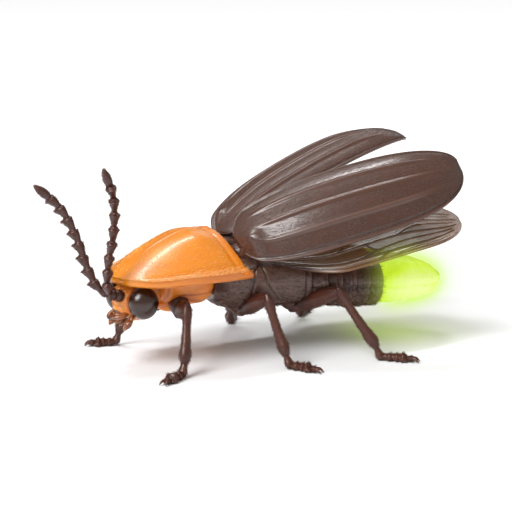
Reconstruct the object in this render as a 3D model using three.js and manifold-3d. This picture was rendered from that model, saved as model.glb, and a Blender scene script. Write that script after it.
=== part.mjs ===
// A life-size firefly (a large male window firefly) that stands on its six feet, with its wing cases half
// raised, its hind wings half spread under them, and its head turned a little to its left.
// Millimetres and degrees. -Y is ahead of the animal, +X is its left, +Z is up, and the floor is z = 0.
import * as THREE from "three";
import { mergeVertices } from "three/addons/utils/BufferGeometryUtils.js";
import Module from "manifold-3d";

const wasm = await Module();
wasm.setup();

// Driving dimensions of the whole animal.
const GAP = 0.12; // left between two nodes that touch
const SHEET = 0.5; // thickness of wing cases, hind wings and shield
const SLIVER = 0.004; // detail smaller than this is smoothed away after a cut
const MIDDLE_Y = -2.43; // moves the neck joint, so that the origin is under the middle of the whole
const HEAD_TURN = 17; // of the forebody about the neck joint, towards the animal's left

// Shield over head and forebody (pronotum).
const SHIELD = {
  front: -5.5,
  rear: 0.3,
  half: 3.55,
  rim: 4.75,
  lip: 0.05,
  dome: 2.2,
  curl: 0.16,
  thick: 0.52,
};
// Forebody under the shield (prothorax).
const FOREBODY = { front: -3.3, rear: -0.05, half: 1.75, level: 4.3, up: 1.9, down: 1.55 };
const KEEL = { y: -1.9, z: 3, half: 0.62, long: 1.1, high: 0.55 }; // between the front hips
// Head capsule, and the eyes that sit in it.
const HEAD = { y: -4.3, z: 3.42, half: 1.18, long: 1.15, high: 1.02, nod: 24 };
const EYE = { x: 1.08, y: -4.45, z: 3.48, half: 0.72, long: 0.82, high: 0.86 };
const NECK = { front: -3.9, rear: -2.75, rise: 0.2, z: 3.75, radius: 0.78 };
// Face: the muzzle with its lip, and the raised ring that a feeler grows out of.
const MUZZLE = { y: -5.02, z: 3.0, half: 0.62, long: 0.5, high: 0.42, nod: 30 };
const LIP = { y: -5.38, z: 2.95, half: 0.36, long: 0.22, high: 0.12, nod: 35 };
const SOCKET = { x: 0.32, y: -5.2, z: 3.76, half: 0.27, long: 0.2, high: 0.27 };
// Mouth of one side, each piece [from, to, steps of share of its length and radius]: jaw in two, long palp in
// two, short palp.
const MOUTH = [
  [[0.38, -5.0, 2.95], [0.42, -5.5, 2.76], [[0, 0.19], [1, 0.14]]],
  [[0.44, -5.42, 2.78], [-0.08, -5.78, 2.66], [[0, 0.14], [0.5, 0.12], [1, 0.05]]],
  [[0.42, -4.72, 3.0], [0.78, -5.02, 2.56], [[0, 0.16], [0.5, 0.15], [1, 0.15]]],
  [[0.76, -4.97, 2.6], [0.72, -5.4, 2.14], [[0, 0.14], [0.4, 0.22], [0.75, 0.19], [1, 0.06]]],
  [[0.16, -4.85, 2.72], [0.24, -5.32, 2.3], [[0, 0.14], [0.6, 0.15], [1, 0.07]]],
];
// Feelers: a shaft and a short second joint, then toothed joints on one curve.
const FEELER = { joints: 11, shaft: 0.75, second: 0.34, last: 0.95, thin: 0.2, broad: 0.34, flat: 0.78 };
// Middle and rear thorax as one box of plates.
const THORAX = { front: 0.12, rear: 5.2, half: 2.85, top: 5.72, drop: 0.5, under: 2.42 };
const BREAST = { y: 3.9, z: 2.84, half: 1.5, long: 1.25, high: 0.62 };
// Swellings of its upper side, one of each on each side: behind, under a wing case's root, and beside the
// scutellum.
const BACK = { x: 0.75, y: 3.5, z: 5.42, half: 0.75, long: 1.3, high: 0.36 };
const SHOULDER = { x: 1.95, y: 1.6, z: 5.05, half: 0.72, long: 0.8, high: 0.48 };
const ROOT_PLATE = { x: 1.1, y: 1.95, z: 5.5, half: 0.62, long: 0.78, high: 0.55 };
// The small triangle between the roots of the wing cases.
const SCUTELLUM = { front: 0.35, rear: 2, base: 0.72, point: 0.12, z: 6.06, thick: 0.55 };
// Abdomen from its first ring to its tip, as one tapering body that is parted into nodes.
const ABDOMEN = { front: 5.2, rear: 14, half: 2.95, level: 3.85, droop: 0.75, up: 1.35, down: 1.8 };
const DARK_RINGS = 5;
const LAMP_START = 9.3; // y where the lantern's first ring begins
const LAMP_RINGS = 2;
const TIP_START = 13.15;
// Wing case: leaf-shaped, arched, with raised ribs. Spread is outward, lift is upward and roll tips its outer
// edge down, each in degrees, and the right one stands higher than the left.
const CASE = { long: 13.1, half: 2.15, arch: 0.45, crown: 1.25, round: 0.075, rib: 0.1, bead: 0.06 };
const CASE_ROOT = { x: 2.05, y: 0.86, z: 5.68 };
const HINGE = { u: 0.09, w: 0.15, deep: 0.42, half: 0.52, flat: 0.5 }; // blade from wing case to shoulder
const CASE_POSE = { left: { spread: 11, lift: 16, roll: 36 }, right: { spread: 9, lift: 23, roll: -16 } };
const CASE_RIBS = [-0.5, 0.02, 0.52];
// Hind wing: a membrane with raised veins that fan out from its root, its end still folded under.
const WING = { long: 10.9, half: 2.15, root: 0.5, vein: 0.14 };
const WING_ROOT = { x: 2.1, y: 2.6, z: 4.85 };
const WING_POSE = { left: { spread: 12, lift: 13, roll: 31 }, right: { spread: 12, lift: 13, roll: 22 } };
const WING_VEINS = [0.94, 0.66, 0.3, -0.1, -0.5, -0.84];

const { PI, abs, cos, exp, max, min, sign, sin, sqrt } = Math;
const { degToRad: radians, lerp, smoothstep } = THREE.MathUtils;
const at = (x, y, z) => new THREE.Vector3(x, y, z);
const span = (count) => Array.from({ length: count + 1 }, (_, i) => i / count);

// Solids

// The solid inside a closed geometry, whichever way its faces were wound.
function solid(geometry) {
  const bare = new THREE.BufferGeometry();
  bare.setAttribute("position", geometry.getAttribute("position").clone());
  if (geometry.index) bare.setIndex(geometry.index.clone());
  const merged = mergeVertices(bare, 1e-4);
  const corners = merged.index.array;
  const kept = [];
  for (let i = 0; i < corners.length; i += 3) {
    const [a, b, c] = [corners[i], corners[i + 1], corners[i + 2]];
    if (a !== b && b !== c && c !== a) kept.push(a, b, c);
  }
  const vertProperties = new Float32Array(merged.attributes.position.array);
  const made = (order) =>
    new wasm.Manifold(new wasm.Mesh({ numProp: 3, vertProperties, triVerts: new Uint32Array(order) }));
  const first = made(kept);
  if (first.volume() > 0) return first;
  for (let i = 0; i < kept.length; i += 3) [kept[i + 1], kept[i + 2]] = [kept[i + 2], kept[i + 1]];
  return made(kept);
}

const joined = (solids) => solids.reduce((whole, part) => whole.add(part));

// The largest closed body of a solid, without the scraps and slivers that a cut can leave.
function largest(body) {
  const best = body.decompose().reduce((most, part) => (part.volume() > most.volume() ? part : most));
  return best.simplify(SLIVER);
}

function geometryOf(body) {
  const mesh = body.getMesh();
  const geometry = new THREE.BufferGeometry();
  geometry.setAttribute("position", new THREE.BufferAttribute(new Float32Array(mesh.vertProperties), 3));
  geometry.setIndex(new THREE.BufferAttribute(new Uint32Array(mesh.triVerts), 1));
  return geometry;
}

// A solid turned about the neck joint's upright axis.
const turned = (body, degrees) => solid(geometryOf(body).rotateZ(radians(degrees)));

// A named mesh from a solid.
function node(name, body, material) {
  const made = new THREE.Mesh(geometryOf(largest(body)), material);
  made.name = name;
  return made;
}

// A closed skin through rings of points, with a fan over each end.
function skin(rings) {
  const around = rings[0].length;
  const points = rings.flat();
  const faces = [];
  for (let r = 0; r + 1 < rings.length; r++)
    for (let i = 0; i < around; i++) {
      const [a, b] = [r * around + i, r * around + ((i + 1) % around)];
      faces.push(a, b, b + around, a, b + around, a + around);
    }
  [rings[0], rings.at(-1)].forEach((ring, last) => {
    const middle = ring.reduce((sum, p) => sum.add(p), at(0, 0, 0)).divideScalar(around);
    const hub = points.push(middle) - 1;
    const start = last * (rings.length - 1) * around;
    for (let i = 0; i < around; i++) {
      const [a, b] = [start + i, start + ((i + 1) % around)];
      faces.push(...(last ? [hub, a, b] : [hub, b, a]));
    }
  });
  const geometry = new THREE.BufferGeometry().setFromPoints(points);
  geometry.setIndex(faces);
  return solid(geometry);
}

// A closed section across Y: half wide, up and down from its level, with flatter sides where round is over 2.
function section(y, { level, half, up, down, round = 2.3 }, sides) {
  return Array.from({ length: sides }, (_, i) => {
    const turn = (2 * PI * i) / sides;
    const [c, s] = [cos(turn), sin(turn)];
    const reach = (v) => sign(v) * abs(v) ** (2 / round);
    return at(half * reach(c), y, level + (s > 0 ? up : down) * reach(s));
  });
}

// An ellipsoid on one side of the middle, or on it, with its front nodding down, and grown all round.
function ball({ x = 0, y, z, half, long, high, nod = 0 }, [around, rows], { side = 1, grow = 0 } = {}) {
  const geometry = new THREE.SphereGeometry(1, around, rows);
  geometry.scale(half + grow, long + grow, high + grow).rotateX(radians(-nod)).translate(side * x, y, z);
  return solid(geometry);
}

// A limb from one point to another. Each step of its profile is [share of the length, radius, shift towards
// side], and flat is its depth across the plane that holds side, as a share of its width in that plane.
function limb(from, to, profile, { side = at(0, 0, 1), flat = 1, sides = 6 } = {}) {
  const along = to.clone().sub(from);
  const ahead = along.clone().normalize();
  const across = ahead.clone().cross(side).normalize();
  const broad = across.clone().cross(ahead).normalize();
  return skin(
    profile.map(([share, radius, shift = 0]) => {
      const centre = from.clone().addScaledVector(along, share).addScaledVector(broad, shift);
      return Array.from({ length: sides }, (_, i) => {
        const turn = (2 * PI * (i + 0.5)) / sides;
        return centre
          .clone()
          .addScaledVector(broad, radius * cos(turn))
          .addScaledVector(across, radius * flat * sin(turn));
      });
    }),
  );
}

// A sheet under a smooth surface of (u, w), whose upper face may carry ridges. Both faces are split into
// triangles alike.
function sheet(surface, us, ws, thick, ridge = () => 0) {
  const step = 1e-3;
  const off = (u, w, distance) => {
    const [du, dw] = [u < 0.5 ? step : -step, w < 0 ? step : -step];
    const here = surface(u, w);
    const lengthwise = surface(u + du, w).sub(here).multiplyScalar(sign(du));
    const crosswise = surface(u, w + dw).sub(here).multiplyScalar(sign(dw));
    const normal = crosswise.cross(lengthwise).normalize();
    return here.addScaledVector(normal, distance * sign(normal.z));
  };
  const grid = (place) => us.flatMap((u) => ws.map((w) => place(u, w)));
  const points = [...grid((u, w) => off(u, w, ridge(u, w))), ...grid((u, w) => off(u, w, -thick(u, w)))];
  const [rows, columns] = [us.length, ws.length];
  const lower = rows * columns;
  const faces = [];
  for (let r = 0; r + 1 < rows; r++)
    for (let c = 0; c + 1 < columns; c++) {
      const [a, d] = [r * columns + c, (r + 1) * columns + c];
      const [b, e] = [a + 1, d + 1];
      faces.push(a, b, e, a, e, d);
      faces.push(lower + a, lower + e, lower + b, lower + a, lower + d, lower + e);
    }
  const rim = [];
  for (let c = 0; c < columns; c++) rim.push(c);
  for (let r = 1; r < rows; r++) rim.push(r * columns + columns - 1);
  for (let c = columns - 2; c >= 0; c--) rim.push((rows - 1) * columns + c);
  for (let r = rows - 2; r > 0; r--) rim.push(r * columns);
  rim.forEach((a, i) => {
    const b = rim[(i + 1) % rim.length];
    faces.push(a, lower + a, lower + b, a, lower + b, b);
  });
  const geometry = new THREE.BufferGeometry().setFromPoints(points);
  geometry.setIndex(faces);
  return solid(geometry);
}

// Forebody

// The shield's upper face: v runs from its front lip to its rear edge, w across it from -1 to 1.
function shieldTop(v, w, raised = 0) {
  const { front, rear, half, rim, lip, dome, curl } = SHIELD;
  const along = v ** 1.5;
  const y = lerp(front, rear, along) + 0.3 * abs(w) ** 3 * along ** 6;
  const wide = half * (1 - (1 - along) ** 2.3) ** (1 / 2.1) + 0.06;
  const rise = (1 - (1 - along) ** 2) ** 1.05 * (1 - 0.1 * smoothstep(along, 0.7, 1));
  const rolled = curl * abs(w) ** 8 * smoothstep(along, 0.15, 0.5);
  const z = rim + lip * (1 - along) ** 1.5 + dome * rise * (1 - abs(w) ** 2.1) ** 1.25 + rolled;
  return at(wide * w, y, z + raised);
}

const SHIELD_ACROSS = span(16).map((s) => sin((s - 0.5) * PI));

const shield = () => sheet(shieldTop, span(12), SHIELD_ACROSS, () => SHIELD.thick);

// The room that the shield takes with the gap under it, to cut what reaches up into it.
function shieldRoom() {
  const { thick } = SHIELD;
  return sheet((v, w) => shieldTop(v, w, thick), span(13), SHIELD_ACROSS, () => 2 * thick + GAP);
}

function forebody(grow = 0) {
  const { front, rear, half, level, up, down } = FOREBODY;
  const stations = [
    [0, 0.5],
    [0.08, 0.68],
    [0.3, 0.86],
    [0.65, 1],
    [0.9, 0.94],
    [1, 0.8],
  ];
  const rings = stations.map(([share, size]) => {
    const shape = { level, half: half * size + grow, up: up * size + grow, down: down * size + grow };
    return section(lerp(front - grow, rear + grow, share), shape, 20);
  });
  return skin(rings).add(ball(KEEL, [12, 8], { grow }));
}

// The head without its mouth: capsule, neck, muzzle, lip and the two sockets.
function headCapsule(grow = 0) {
  const { front, rear, rise, z, radius } = NECK;
  const throat = radius + grow;
  const neck = limb(at(0, front, z), at(0, rear + grow, z + rise), [[0, throat], [1, throat]], { sides: 12 });
  return joined([
    neck,
    ball(HEAD, [16, 11], { grow }),
    ball(MUZZLE, [10, 7], { grow }),
    ball(LIP, [10, 5], { grow }),
    ...[1, -1].map((side) => ball(SOCKET, [8, 6], { side, grow })),
  ]);
}

const eye = (side, grow = 0) => ball(EYE, [16, 12], { side, grow });

function mouthparts(side) {
  const place = ([x, y, z]) => at(side * x, y, z);
  return joined(MOUTH.map(([from, to, profile]) => limb(place(from), place(to), profile, { sides: 5 })));
}

// The line of a feeler: out of its socket on the face, up past the shield's lip, and forward at the end.
const FEELER_ROOT = [[0.3, -5.0, 3.8], [0.42, -6.05, 4.1]];
const FEELER_LINE = {
  left: [...FEELER_ROOT, [0.85, -6.4, 5.5], [1.2, -6.25, 7.3], [1.45, -6.35, 9.1], [1.8, -7.1, 10.7]],
  right: [...FEELER_ROOT, [0.8, -6.6, 5.3], [1.15, -7.0, 6.9], [1.5, -7.7, 8.4], [1.9, -8.9, 9.6]],
};
const JOINT_OVERLAP = 0.14; // length by which each feeler joint starts inside the one before

function feeler(side, places) {
  const line = new THREE.CatmullRomCurve3(places.map(([x, y, z]) => at(side * x, y, z)));
  const { joints, shaft, second, last, thin, broad, flat } = FEELER;
  const middle = (line.getLength() - shaft - second - last) / (joints - 3);
  const lengths = [shaft, second, ...Array(joints - 3).fill(middle), last];
  const outward = at(side, -0.5, 0.2);
  let travelled = 0;
  return joined(
    lengths.map((length, i) => {
      const total = line.getLength();
      const from = line.getPointAt(max(0, travelled - JOINT_OVERLAP) / total);
      travelled += length;
      const to = line.getPointAt(min(1, travelled / total));
      if (i === 0) return limb(from, to, [[0, 0.2], [0.3, 0.25], [0.8, 0.3], [1, 0.2]], { side: outward });
      if (i === 1) return limb(from, to, [[0, 0.2], [0.6, 0.27], [1, 0.2]], { side: outward });
      if (i === joints - 1)
        return limb(from, to, [[0, thin], [0.35, 0.29], [0.7, 0.25], [1, 0.08]], { side: outward, flat });
      return limb(from, to, [[0, thin], [0.45, 0.26, 0.03], [0.84, broad, 0.09], [1, 0.2, 0.06]], {
        side: outward,
        flat,
      });
    }),
  );
}

// Middle and rear thorax

function thorax(grow = 0) {
  const { front, rear, half, top, drop, under } = THORAX;
  const stations = [
    [0, 0.6, 0.72],
    [0.05, 0.7, 0.85],
    [0.16, 0.86, 0.95],
    [0.38, 0.96, 1],
    [0.7, 1, 1],
    [1, 0.97, 0.94],
  ];
  const rings = stations.map(([share, width, height]) => {
    const high = top - drop * share;
    const level = lerp(under, high, 0.55);
    const [up, down] = [(high - level) * height + grow, (level - under) * height + grow];
    const shape = { level, half: half * width + grow, up, down, round: 2.6 };
    return section(lerp(front - grow, rear + grow, share), shape, 24);
  });
  const bumps = (side) => [BACK, SHOULDER, ROOT_PLATE].map((plate) => ball(plate, [9, 6], { side, grow }));
  return joined([skin(rings), ball(BREAST, [12, 8], { grow }), ...bumps(1), ...bumps(-1)]);
}

function scutellum() {
  const { front, rear, base, point, z, thick } = SCUTELLUM;
  const across = span(6).map((s) => 2 * s - 1);
  const half = (u) => lerp(base, point, u ** 1.3);
  const top = (u, w) => at(w * half(u), lerp(front, rear, u), z - 0.12 * w * w - 0.2 * u * u);
  return sheet(top, span(5), across, () => thick);
}

// Abdomen

// The abdomen's section at y: it tapers to the tip and droops a little behind.
function belly(y) {
  const { front, rear, half, level, droop, up, down } = ABDOMEN;
  const t = (y - front) / (rear - front);
  const shrink = (power) => sqrt(max(0.02, 1 - t ** power));
  return {
    level: level - droop * t ** 1.7,
    half: half * shrink(3.8) * (0.95 + 0.05 * sin(PI * min(1, 2 * t))),
    up: up * shrink(3.2),
    down: down * shrink(3.2) * lerp(0.86, 1, smoothstep(t, 0, 0.35)),
  };
}

// Rings of the abdomen between two places, each ring swelling to an edge that overlaps the next. When grown,
// they start earlier too.
function bellyRings(start, end, count, { inset = 0.93, lobe = 1.035, grow = 0 } = {}) {
  const edge = 0.07;
  const rings = [];
  for (let i = 0; i < count; i++) {
    const [from, to] = [lerp(start, end, i / count), lerp(start, end, (i + 1) / count)];
    const steps = [
      [from + (i === 0 ? -grow : 0.004), inset, inset],
      [from + 0.3 * (to - from), 0.975, 0.98],
      [to - edge, 1, lobe],
      [to - 0.004, 0.985, lobe],
    ];
    for (const [y, size, width] of steps) {
      const { level, half, up, down } = belly(y);
      const [wide, high, deep] = [half * width + grow, up * size + grow, down * size + grow];
      rings.push(section(y, { level, half: wide, up: high, down: deep, round: 2.25 }, 24));
    }
  }
  return skin(rings);
}

function abdomen(grow = 0) {
  return bellyRings(ABDOMEN.front + GAP, LAMP_START, DARK_RINGS, { grow });
}

function lantern() {
  return bellyRings(LAMP_START + GAP, TIP_START, LAMP_RINGS, { inset: 0.92, lobe: 1.01 });
}

// The last ring, a little narrower than the lantern, which closes in a round end.
function tailTip() {
  const rings = [0, 0.25, 0.5, 0.75, 0.92, 1].map((share) => {
    const y = lerp(TIP_START + GAP, ABDOMEN.rear, share);
    const { level, half, up, down } = belly(y);
    const shape = { level, half: half * 0.86, up: up * 0.86, down: down * 0.8, round: 2.3 };
    return section(y, shape, 24);
  });
  return skin(rings);
}

// Wings

// Turns a shape that is drawn along +Y from its root into its spread pose on one side.
function spreadOut(place, { spread, lift, roll }, root, side) {
  const turn = new THREE.Euler(radians(lift), radians(roll), radians(-spread), "ZXY");
  const placed = place.applyEuler(turn).add(at(root.x, root.y, root.z));
  return at(side * placed.x, placed.y, placed.z);
}

// The share of its full height that a rib or vein has at w, for ribs centred at the given places.
const ridgeAt = (w, centres, width) => max(...centres.map((c) => max(0, 1 - abs(w - c) / width)));

// The wing case's upper face without its ribs: u from root to tip, w from its inner to its outer edge.
function caseTop(u, w) {
  const { long, half, arch, crown, round } = CASE;
  const start = 0.035;
  const along = lerp(start, 0.9985, u);
  const wide = half * (1 - abs(2 * along - 1) ** 2.7) ** (1 / 2.5);
  const closing = sqrt(max(0.12, 1 - max(0, (start + round - along) / round) ** 2));
  const x = wide * closing * w - 0.55 * (half - wide);
  const top = -0.35;
  const rise = crown * (wide / half) ** 1.2 * (1 - (abs(w - top) / (1 - top)) ** 2.1);
  const shoulder = 0.28 * exp(-(((along - 0.09) / 0.05) ** 2) - ((w - 0.4) / 0.32) ** 2);
  return at(x, long * along, arch * (1 - (2 * along - 1) ** 2) + rise + shoulder);
}

function wingCase(side, pose) {
  const us = span(17).map((s) => lerp(0.5 - 0.5 * cos(PI * s), s, 0.35));
  const ws = [-1, -0.8, -0.64, -0.5, -0.36, -0.18, 0.02, 0.2, 0.38, 0.52, 0.68, 0.85, 1];
  const surface = (u, w) => spreadOut(caseTop(u, w), pose, CASE_ROOT, side);
  const fade = (u) => smoothstep(u, 0.05, 0.2) * (1 - smoothstep(u, 0.75, 0.95));
  const bead = (u, w) => CASE.bead * smoothstep(abs(w), 0.86, 1) * (1 - smoothstep(u, 0.9, 1));
  const ribs = (u, w) => CASE.rib * fade(u) * ridgeAt(w, CASE_RIBS, 0.14) + bead(u, w);
  const under = surface(HINGE.u, HINGE.w).add(at(0, 0, -HINGE.deep));
  const foot = at(side * SHOULDER.x, SHOULDER.y, SHOULDER.z);
  const blade = [[0, HINGE.half * 0.9], [0.5, HINGE.half * 0.8], [1, HINGE.half]];
  const stalk = limb(under, foot, blade, { side: at(0, 1, 0), flat: HINGE.flat, sides: 8 });
  return sheet(surface, us, ws, () => SHEET, ribs).add(stalk);
}

// The hind wing's half width: narrow at the root, widest in the middle and round at the tip.
function wingWidth(along) {
  const { half, root } = WING;
  const widening = lerp(root, half, smoothstep(along, -0.06, 0.4));
  const rounding = (1 - max(0, (along - 0.4) / 0.6) ** 2.7) ** (1 / 2.2);
  return widening * rounding;
}

// The hind wing's upper face without its veins: w is -1 at the inner edge and 1 at the leading, outer edge.
function wingTop(u, w) {
  const { long, half } = WING;
  const along = lerp(0, 0.9985, u);
  const wide = wingWidth(along);
  const x = wide * w - 0.45 * (half - wide) * (1 - along);
  const pleat = 0.16 * cos(5 * w) * smoothstep(along, 0.1, 0.5) * (1 - smoothstep(along, 0.75, 1));
  const fold = -0.35 * smoothstep(along, 0.6, 1) ** 1.5;
  return at(x, long * along, pleat + fold + 0.25 * sin(PI * along));
}

function hindWing(side, pose) {
  const near = 0.075;
  const ws = [-1, ...WING_VEINS.toReversed().flatMap((w) => [w - near, w, w + near]), 1];
  const inside = ws.filter((w) => abs(w) <= 1).sort((a, b) => a - b);
  const surface = (u, w) => spreadOut(wingTop(u, w), pose, WING_ROOT, side);
  const taper = (u) => lerp(SHEET, 0.3, smoothstep(u, 0.7, 1));
  const fade = (u) => smoothstep(wingWidth(u), 0.6, 1.4) * (1 - smoothstep(u, 0.7, 0.93));
  const veins = (u, w) => WING.vein * fade(u) * ridgeAt(w, WING_VEINS, near);
  return sheet(surface, span(10), inside, taper, veins);
}

// Legs

// Profiles of a leg's first, second and third long pieces, as [share of the length, radius].
const COXA = [[-0.25, 0.4], [0.1, 0.56], [0.5, 0.52], [0.85, 0.38], [1.1, 0.22]];
const FEMUR = [[-0.02, 0.2], [0.08, 0.32], [0.32, 0.46], [0.66, 0.43], [0.92, 0.3], [1.03, 0.2]];
const TIBIA = [[-0.05, 0.18], [0.03, 0.27], [0.3, 0.25], [0.7, 0.27], [0.95, 0.3], [1.03, 0.2]];
// Foot joints as [share of the foot's length, radius], the fourth one broad and lobed, the fifth slender.
const FOOT = [[0.36, 0.25], [0.19, 0.25], [0.15, 0.26], [0.12, 0.33], [0.18, 0.2]];
const SOLE = 0.2; // height of a foot's centre line over the floor
const CLAW = 0.32;

// One leg, from its hip through knee and ankle to the toe.
function leg(side, { hip, root, knee, ankle, toe }) {
  const place = ([x, y, z]) => at(side * x, y, z);
  const [a, b, k, n, t] = [hip, root, knee, ankle, toe].map(place);
  const up = at(0, 0, 1);
  const parts = [
    limb(a, b, COXA, { side: up }),
    limb(b, k, FEMUR, { side: up, flat: 0.72, sides: 7 }),
    limb(k, n, TIBIA, { side: t.clone().sub(n), flat: 0.9, sides: 6 }),
  ];
  const heel = at(lerp(n.x, t.x, 0.14), lerp(n.y, t.y, 0.14), SOLE + 0.02);
  const toeEnd = at(t.x, t.y, SOLE);
  const path = new THREE.CurvePath();
  path.add(new THREE.LineCurve3(n, heel));
  path.add(new THREE.LineCurve3(heel, toeEnd));
  let share = 0;
  FOOT.forEach(([length, radius], i) => {
    const from = path.getPointAt(max(0, share - 0.04));
    share += length;
    const to = path.getPointAt(min(1, share));
    const profile = [[0, radius * 0.72], [0.75, radius], [1, radius * 0.8]];
    parts.push(limb(from, to, profile, { side: up, flat: i === 3 ? 1.25 : 1, sides: 6 }));
  });
  const ahead = toeEnd.clone().sub(heel).normalize();
  const aside = ahead.clone().cross(up);
  for (const way of [-1, 1]) {
    const from = toeEnd.clone().addScaledVector(ahead, -0.08).addScaledVector(aside, way * 0.06);
    const to = toeEnd.clone().addScaledVector(ahead, CLAW).addScaledVector(aside, way * 0.24).setZ(0.07);
    parts.push(limb(from, to, [[0, 0.13], [0.5, 0.11], [1, 0.05]], { side: up, sides: 4 }));
  }
  return joined(parts).subtract(floorCut());
}

// Everything below the floor, which leaves a small flat under each foot joint.
function floorCut() {
  const deep = 4;
  return solid(new THREE.BoxGeometry(60, 60, deep).translate(0, 0, -deep / 2));
}

// Where each leg stands, as if on the animal's left. Each right leg is set a little otherwise than the left
// one, as in a step.
const stand = (hip, root, knee, ankle, toe) => ({ hip, root, knee, ankle, toe });
const STANCE = {
  fore: {
    left: stand([0.72, -2.05, 3.3], [1, -2.3, 2.62], [2.75, -2.9, 3.35], [3.6, -3.65, 0.85], [4.2, -5.2, 0]),
    right: stand([0.72, -2.05, 3.3], [1, -2.3, 2.62], [2.8, -2.6, 3.3], [3.6, -3, 0.85], [4.4, -4.4, 0]),
  },
  mid: {
    left: stand([0.85, 1.45, 2.95], [1.35, 1.65, 2.35], [3.75, 2.3, 3.55], [4.75, 2.9, 0.85], [6.1, 4.1, 0]),
    right: stand([0.85, 1.45, 2.95], [1.35, 1.65, 2.35], [3.7, 2.4, 3.5], [4.7, 3.2, 0.85], [6.35, 3.8, 0]),
  },
  hind: {
    left: stand([0.85, 4.45, 2.85], [1.35, 4.75, 2.3], [3.85, 6.3, 3.6], [4.85, 7.9, 0.85], [6.0, 9.6, 0]),
    right: stand([0.85, 4.45, 2.85], [1.35, 4.7, 2.3], [3.9, 6.0, 3.55], [4.9, 7.5, 0.85], [6.4, 8.6, 0]),
  },
};

// Materials

const finish = (color, roughness, more = {}) =>
  new THREE.MeshStandardMaterial({ color, roughness, metalness: 0, ...more });
const ORANGE = finish(0xf29a2a, 0.35);
const RUFOUS = finish(0xcf7420, 0.45);
const EYE_BLACK = finish(0x1c1210, 0.12);
const UMBER = finish(0x4a231c, 0.45);
const CASE_BROWN = finish(0x5f473e, 0.35);
const WING_SMOKE = finish(0x8f7663, 0.3, { transparent: true, opacity: 0.55 });
const BELLY_BROWN = finish(0x5a3f37, 0.45);
const LAMP = finish(0xd8ff33, 0.4, { emissive: 0xa8e020 });

// The whole animal

const firefly = new THREE.Group();
firefly.position.y = MIDDLE_Y;

const front = new THREE.Group();
front.rotation.z = radians(HEAD_TURN);
firefly.add(front);

const sides = { left: 1, right: -1 };
const box = thorax();
const boxGrown = thorax(GAP);
const boxAsFrontSeesIt = turned(boxGrown, -HEAD_TURN);
const headRoom = headCapsule(GAP);
const frontRoom = forebody(GAP);
const hipRoom = joined([boxGrown, abdomen(GAP)]);

const head = joined([headCapsule(), mouthparts(1), mouthparts(-1)]);
front.add(node("pronotum", shield().subtract(boxAsFrontSeesIt), ORANGE));
front.add(node("prothorax", forebody().subtract(joined([headRoom, shieldRoom(), boxAsFrontSeesIt])), RUFOUS));
front.add(node("head", head.subtract(joined([eye(1, GAP), eye(-1, GAP)])), RUFOUS));
firefly.add(node("thorax", box, BELLY_BROWN));
firefly.add(node("scutellum", scutellum().subtract(boxGrown), BELLY_BROWN));
firefly.add(node("abdomen", abdomen(), BELLY_BROWN));
firefly.add(node("lantern", lantern(), LAMP));
firefly.add(node("abdomen_tip", tailTip(), LAMP));
for (const [name, side] of Object.entries(sides)) {
  front.add(node(`eye_${name}`, eye(side), EYE_BLACK));
  front.add(node(`antenna_${name}`, feeler(side, FEELER_LINE[name]).subtract(headRoom), UMBER));
  front.add(node(`leg_fore_${name}`, leg(side, STANCE.fore[name]).subtract(frontRoom), UMBER));
  firefly.add(node(`elytron_${name}`, wingCase(side, CASE_POSE[name]).subtract(boxGrown), CASE_BROWN));
  firefly.add(node(`hind_wing_${name}`, hindWing(side, WING_POSE[name]).subtract(boxGrown), WING_SMOKE));
  firefly.add(node(`leg_mid_${name}`, leg(side, STANCE.mid[name]).subtract(hipRoom), UMBER));
  firefly.add(node(`leg_hind_${name}`, leg(side, STANCE.hind[name]).subtract(hipRoom), UMBER));
}

export default firefly;
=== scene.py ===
"""A life-size model of a male window firefly, standing on a plain pale floor under soft studio light.

Every size is in millimetres until a mesh is made. -Y is ahead of the animal, +X is its left, +Z is up and the
floor is z = 0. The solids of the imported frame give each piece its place, and the formulas here repeat theirs.
"""

import sys

import logging
import math
from dataclasses import dataclass, field, replace
from enum import Enum

import bmesh
import bpy
import numpy as np
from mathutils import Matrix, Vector


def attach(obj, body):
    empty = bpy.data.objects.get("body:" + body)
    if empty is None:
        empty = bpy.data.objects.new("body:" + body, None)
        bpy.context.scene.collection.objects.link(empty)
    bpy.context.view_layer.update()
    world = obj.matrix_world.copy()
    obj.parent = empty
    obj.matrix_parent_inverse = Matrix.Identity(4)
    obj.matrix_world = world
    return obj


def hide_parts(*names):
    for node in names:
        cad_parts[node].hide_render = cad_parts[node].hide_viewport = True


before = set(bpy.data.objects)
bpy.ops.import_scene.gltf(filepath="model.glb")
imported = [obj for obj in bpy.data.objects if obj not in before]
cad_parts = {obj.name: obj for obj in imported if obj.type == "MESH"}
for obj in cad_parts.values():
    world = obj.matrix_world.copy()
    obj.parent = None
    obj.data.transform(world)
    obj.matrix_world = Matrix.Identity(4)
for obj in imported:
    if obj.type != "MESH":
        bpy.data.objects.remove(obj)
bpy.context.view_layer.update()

log = logging.getLogger("firefly")

MM = 0.001
# Added to every Y, so that the middle of the whole animal stands over the frame's origin.
MIDDLE_Y = -2.43
# Degrees that shield, head and front legs are turned to the animal's left.
HEAD_TURN = 17.0
# How wide one hair's patch is on the unwrap, which goes from 0 to 1.
TUFT_PATCH = 0.003
# An ellipsoid's first and last rings lie this far from its poles, in radians, and a fan closes it.
POLE_GAP = 0.02
# A limb has this many rows of points, and each of its round ends has a few more.
LIMB_ROWS = 36
CAP_ROWS = 5
LEAST_RADIUS = 0.004

Array = np.ndarray
Point = tuple[float, float, float]
# The middle and the half sizes of an ellipsoid.
Ball = tuple[Point, Point]
# Rows of a share of a length and one or more values there.
Profile = tuple[tuple[float, ...], ...]


class Side(Enum):
    """The animal's own left and right."""

    LEFT = 1
    RIGHT = -1

    @property
    def word(self) -> str:
        """The side's name in a node."""
        return self.name.lower()


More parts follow.
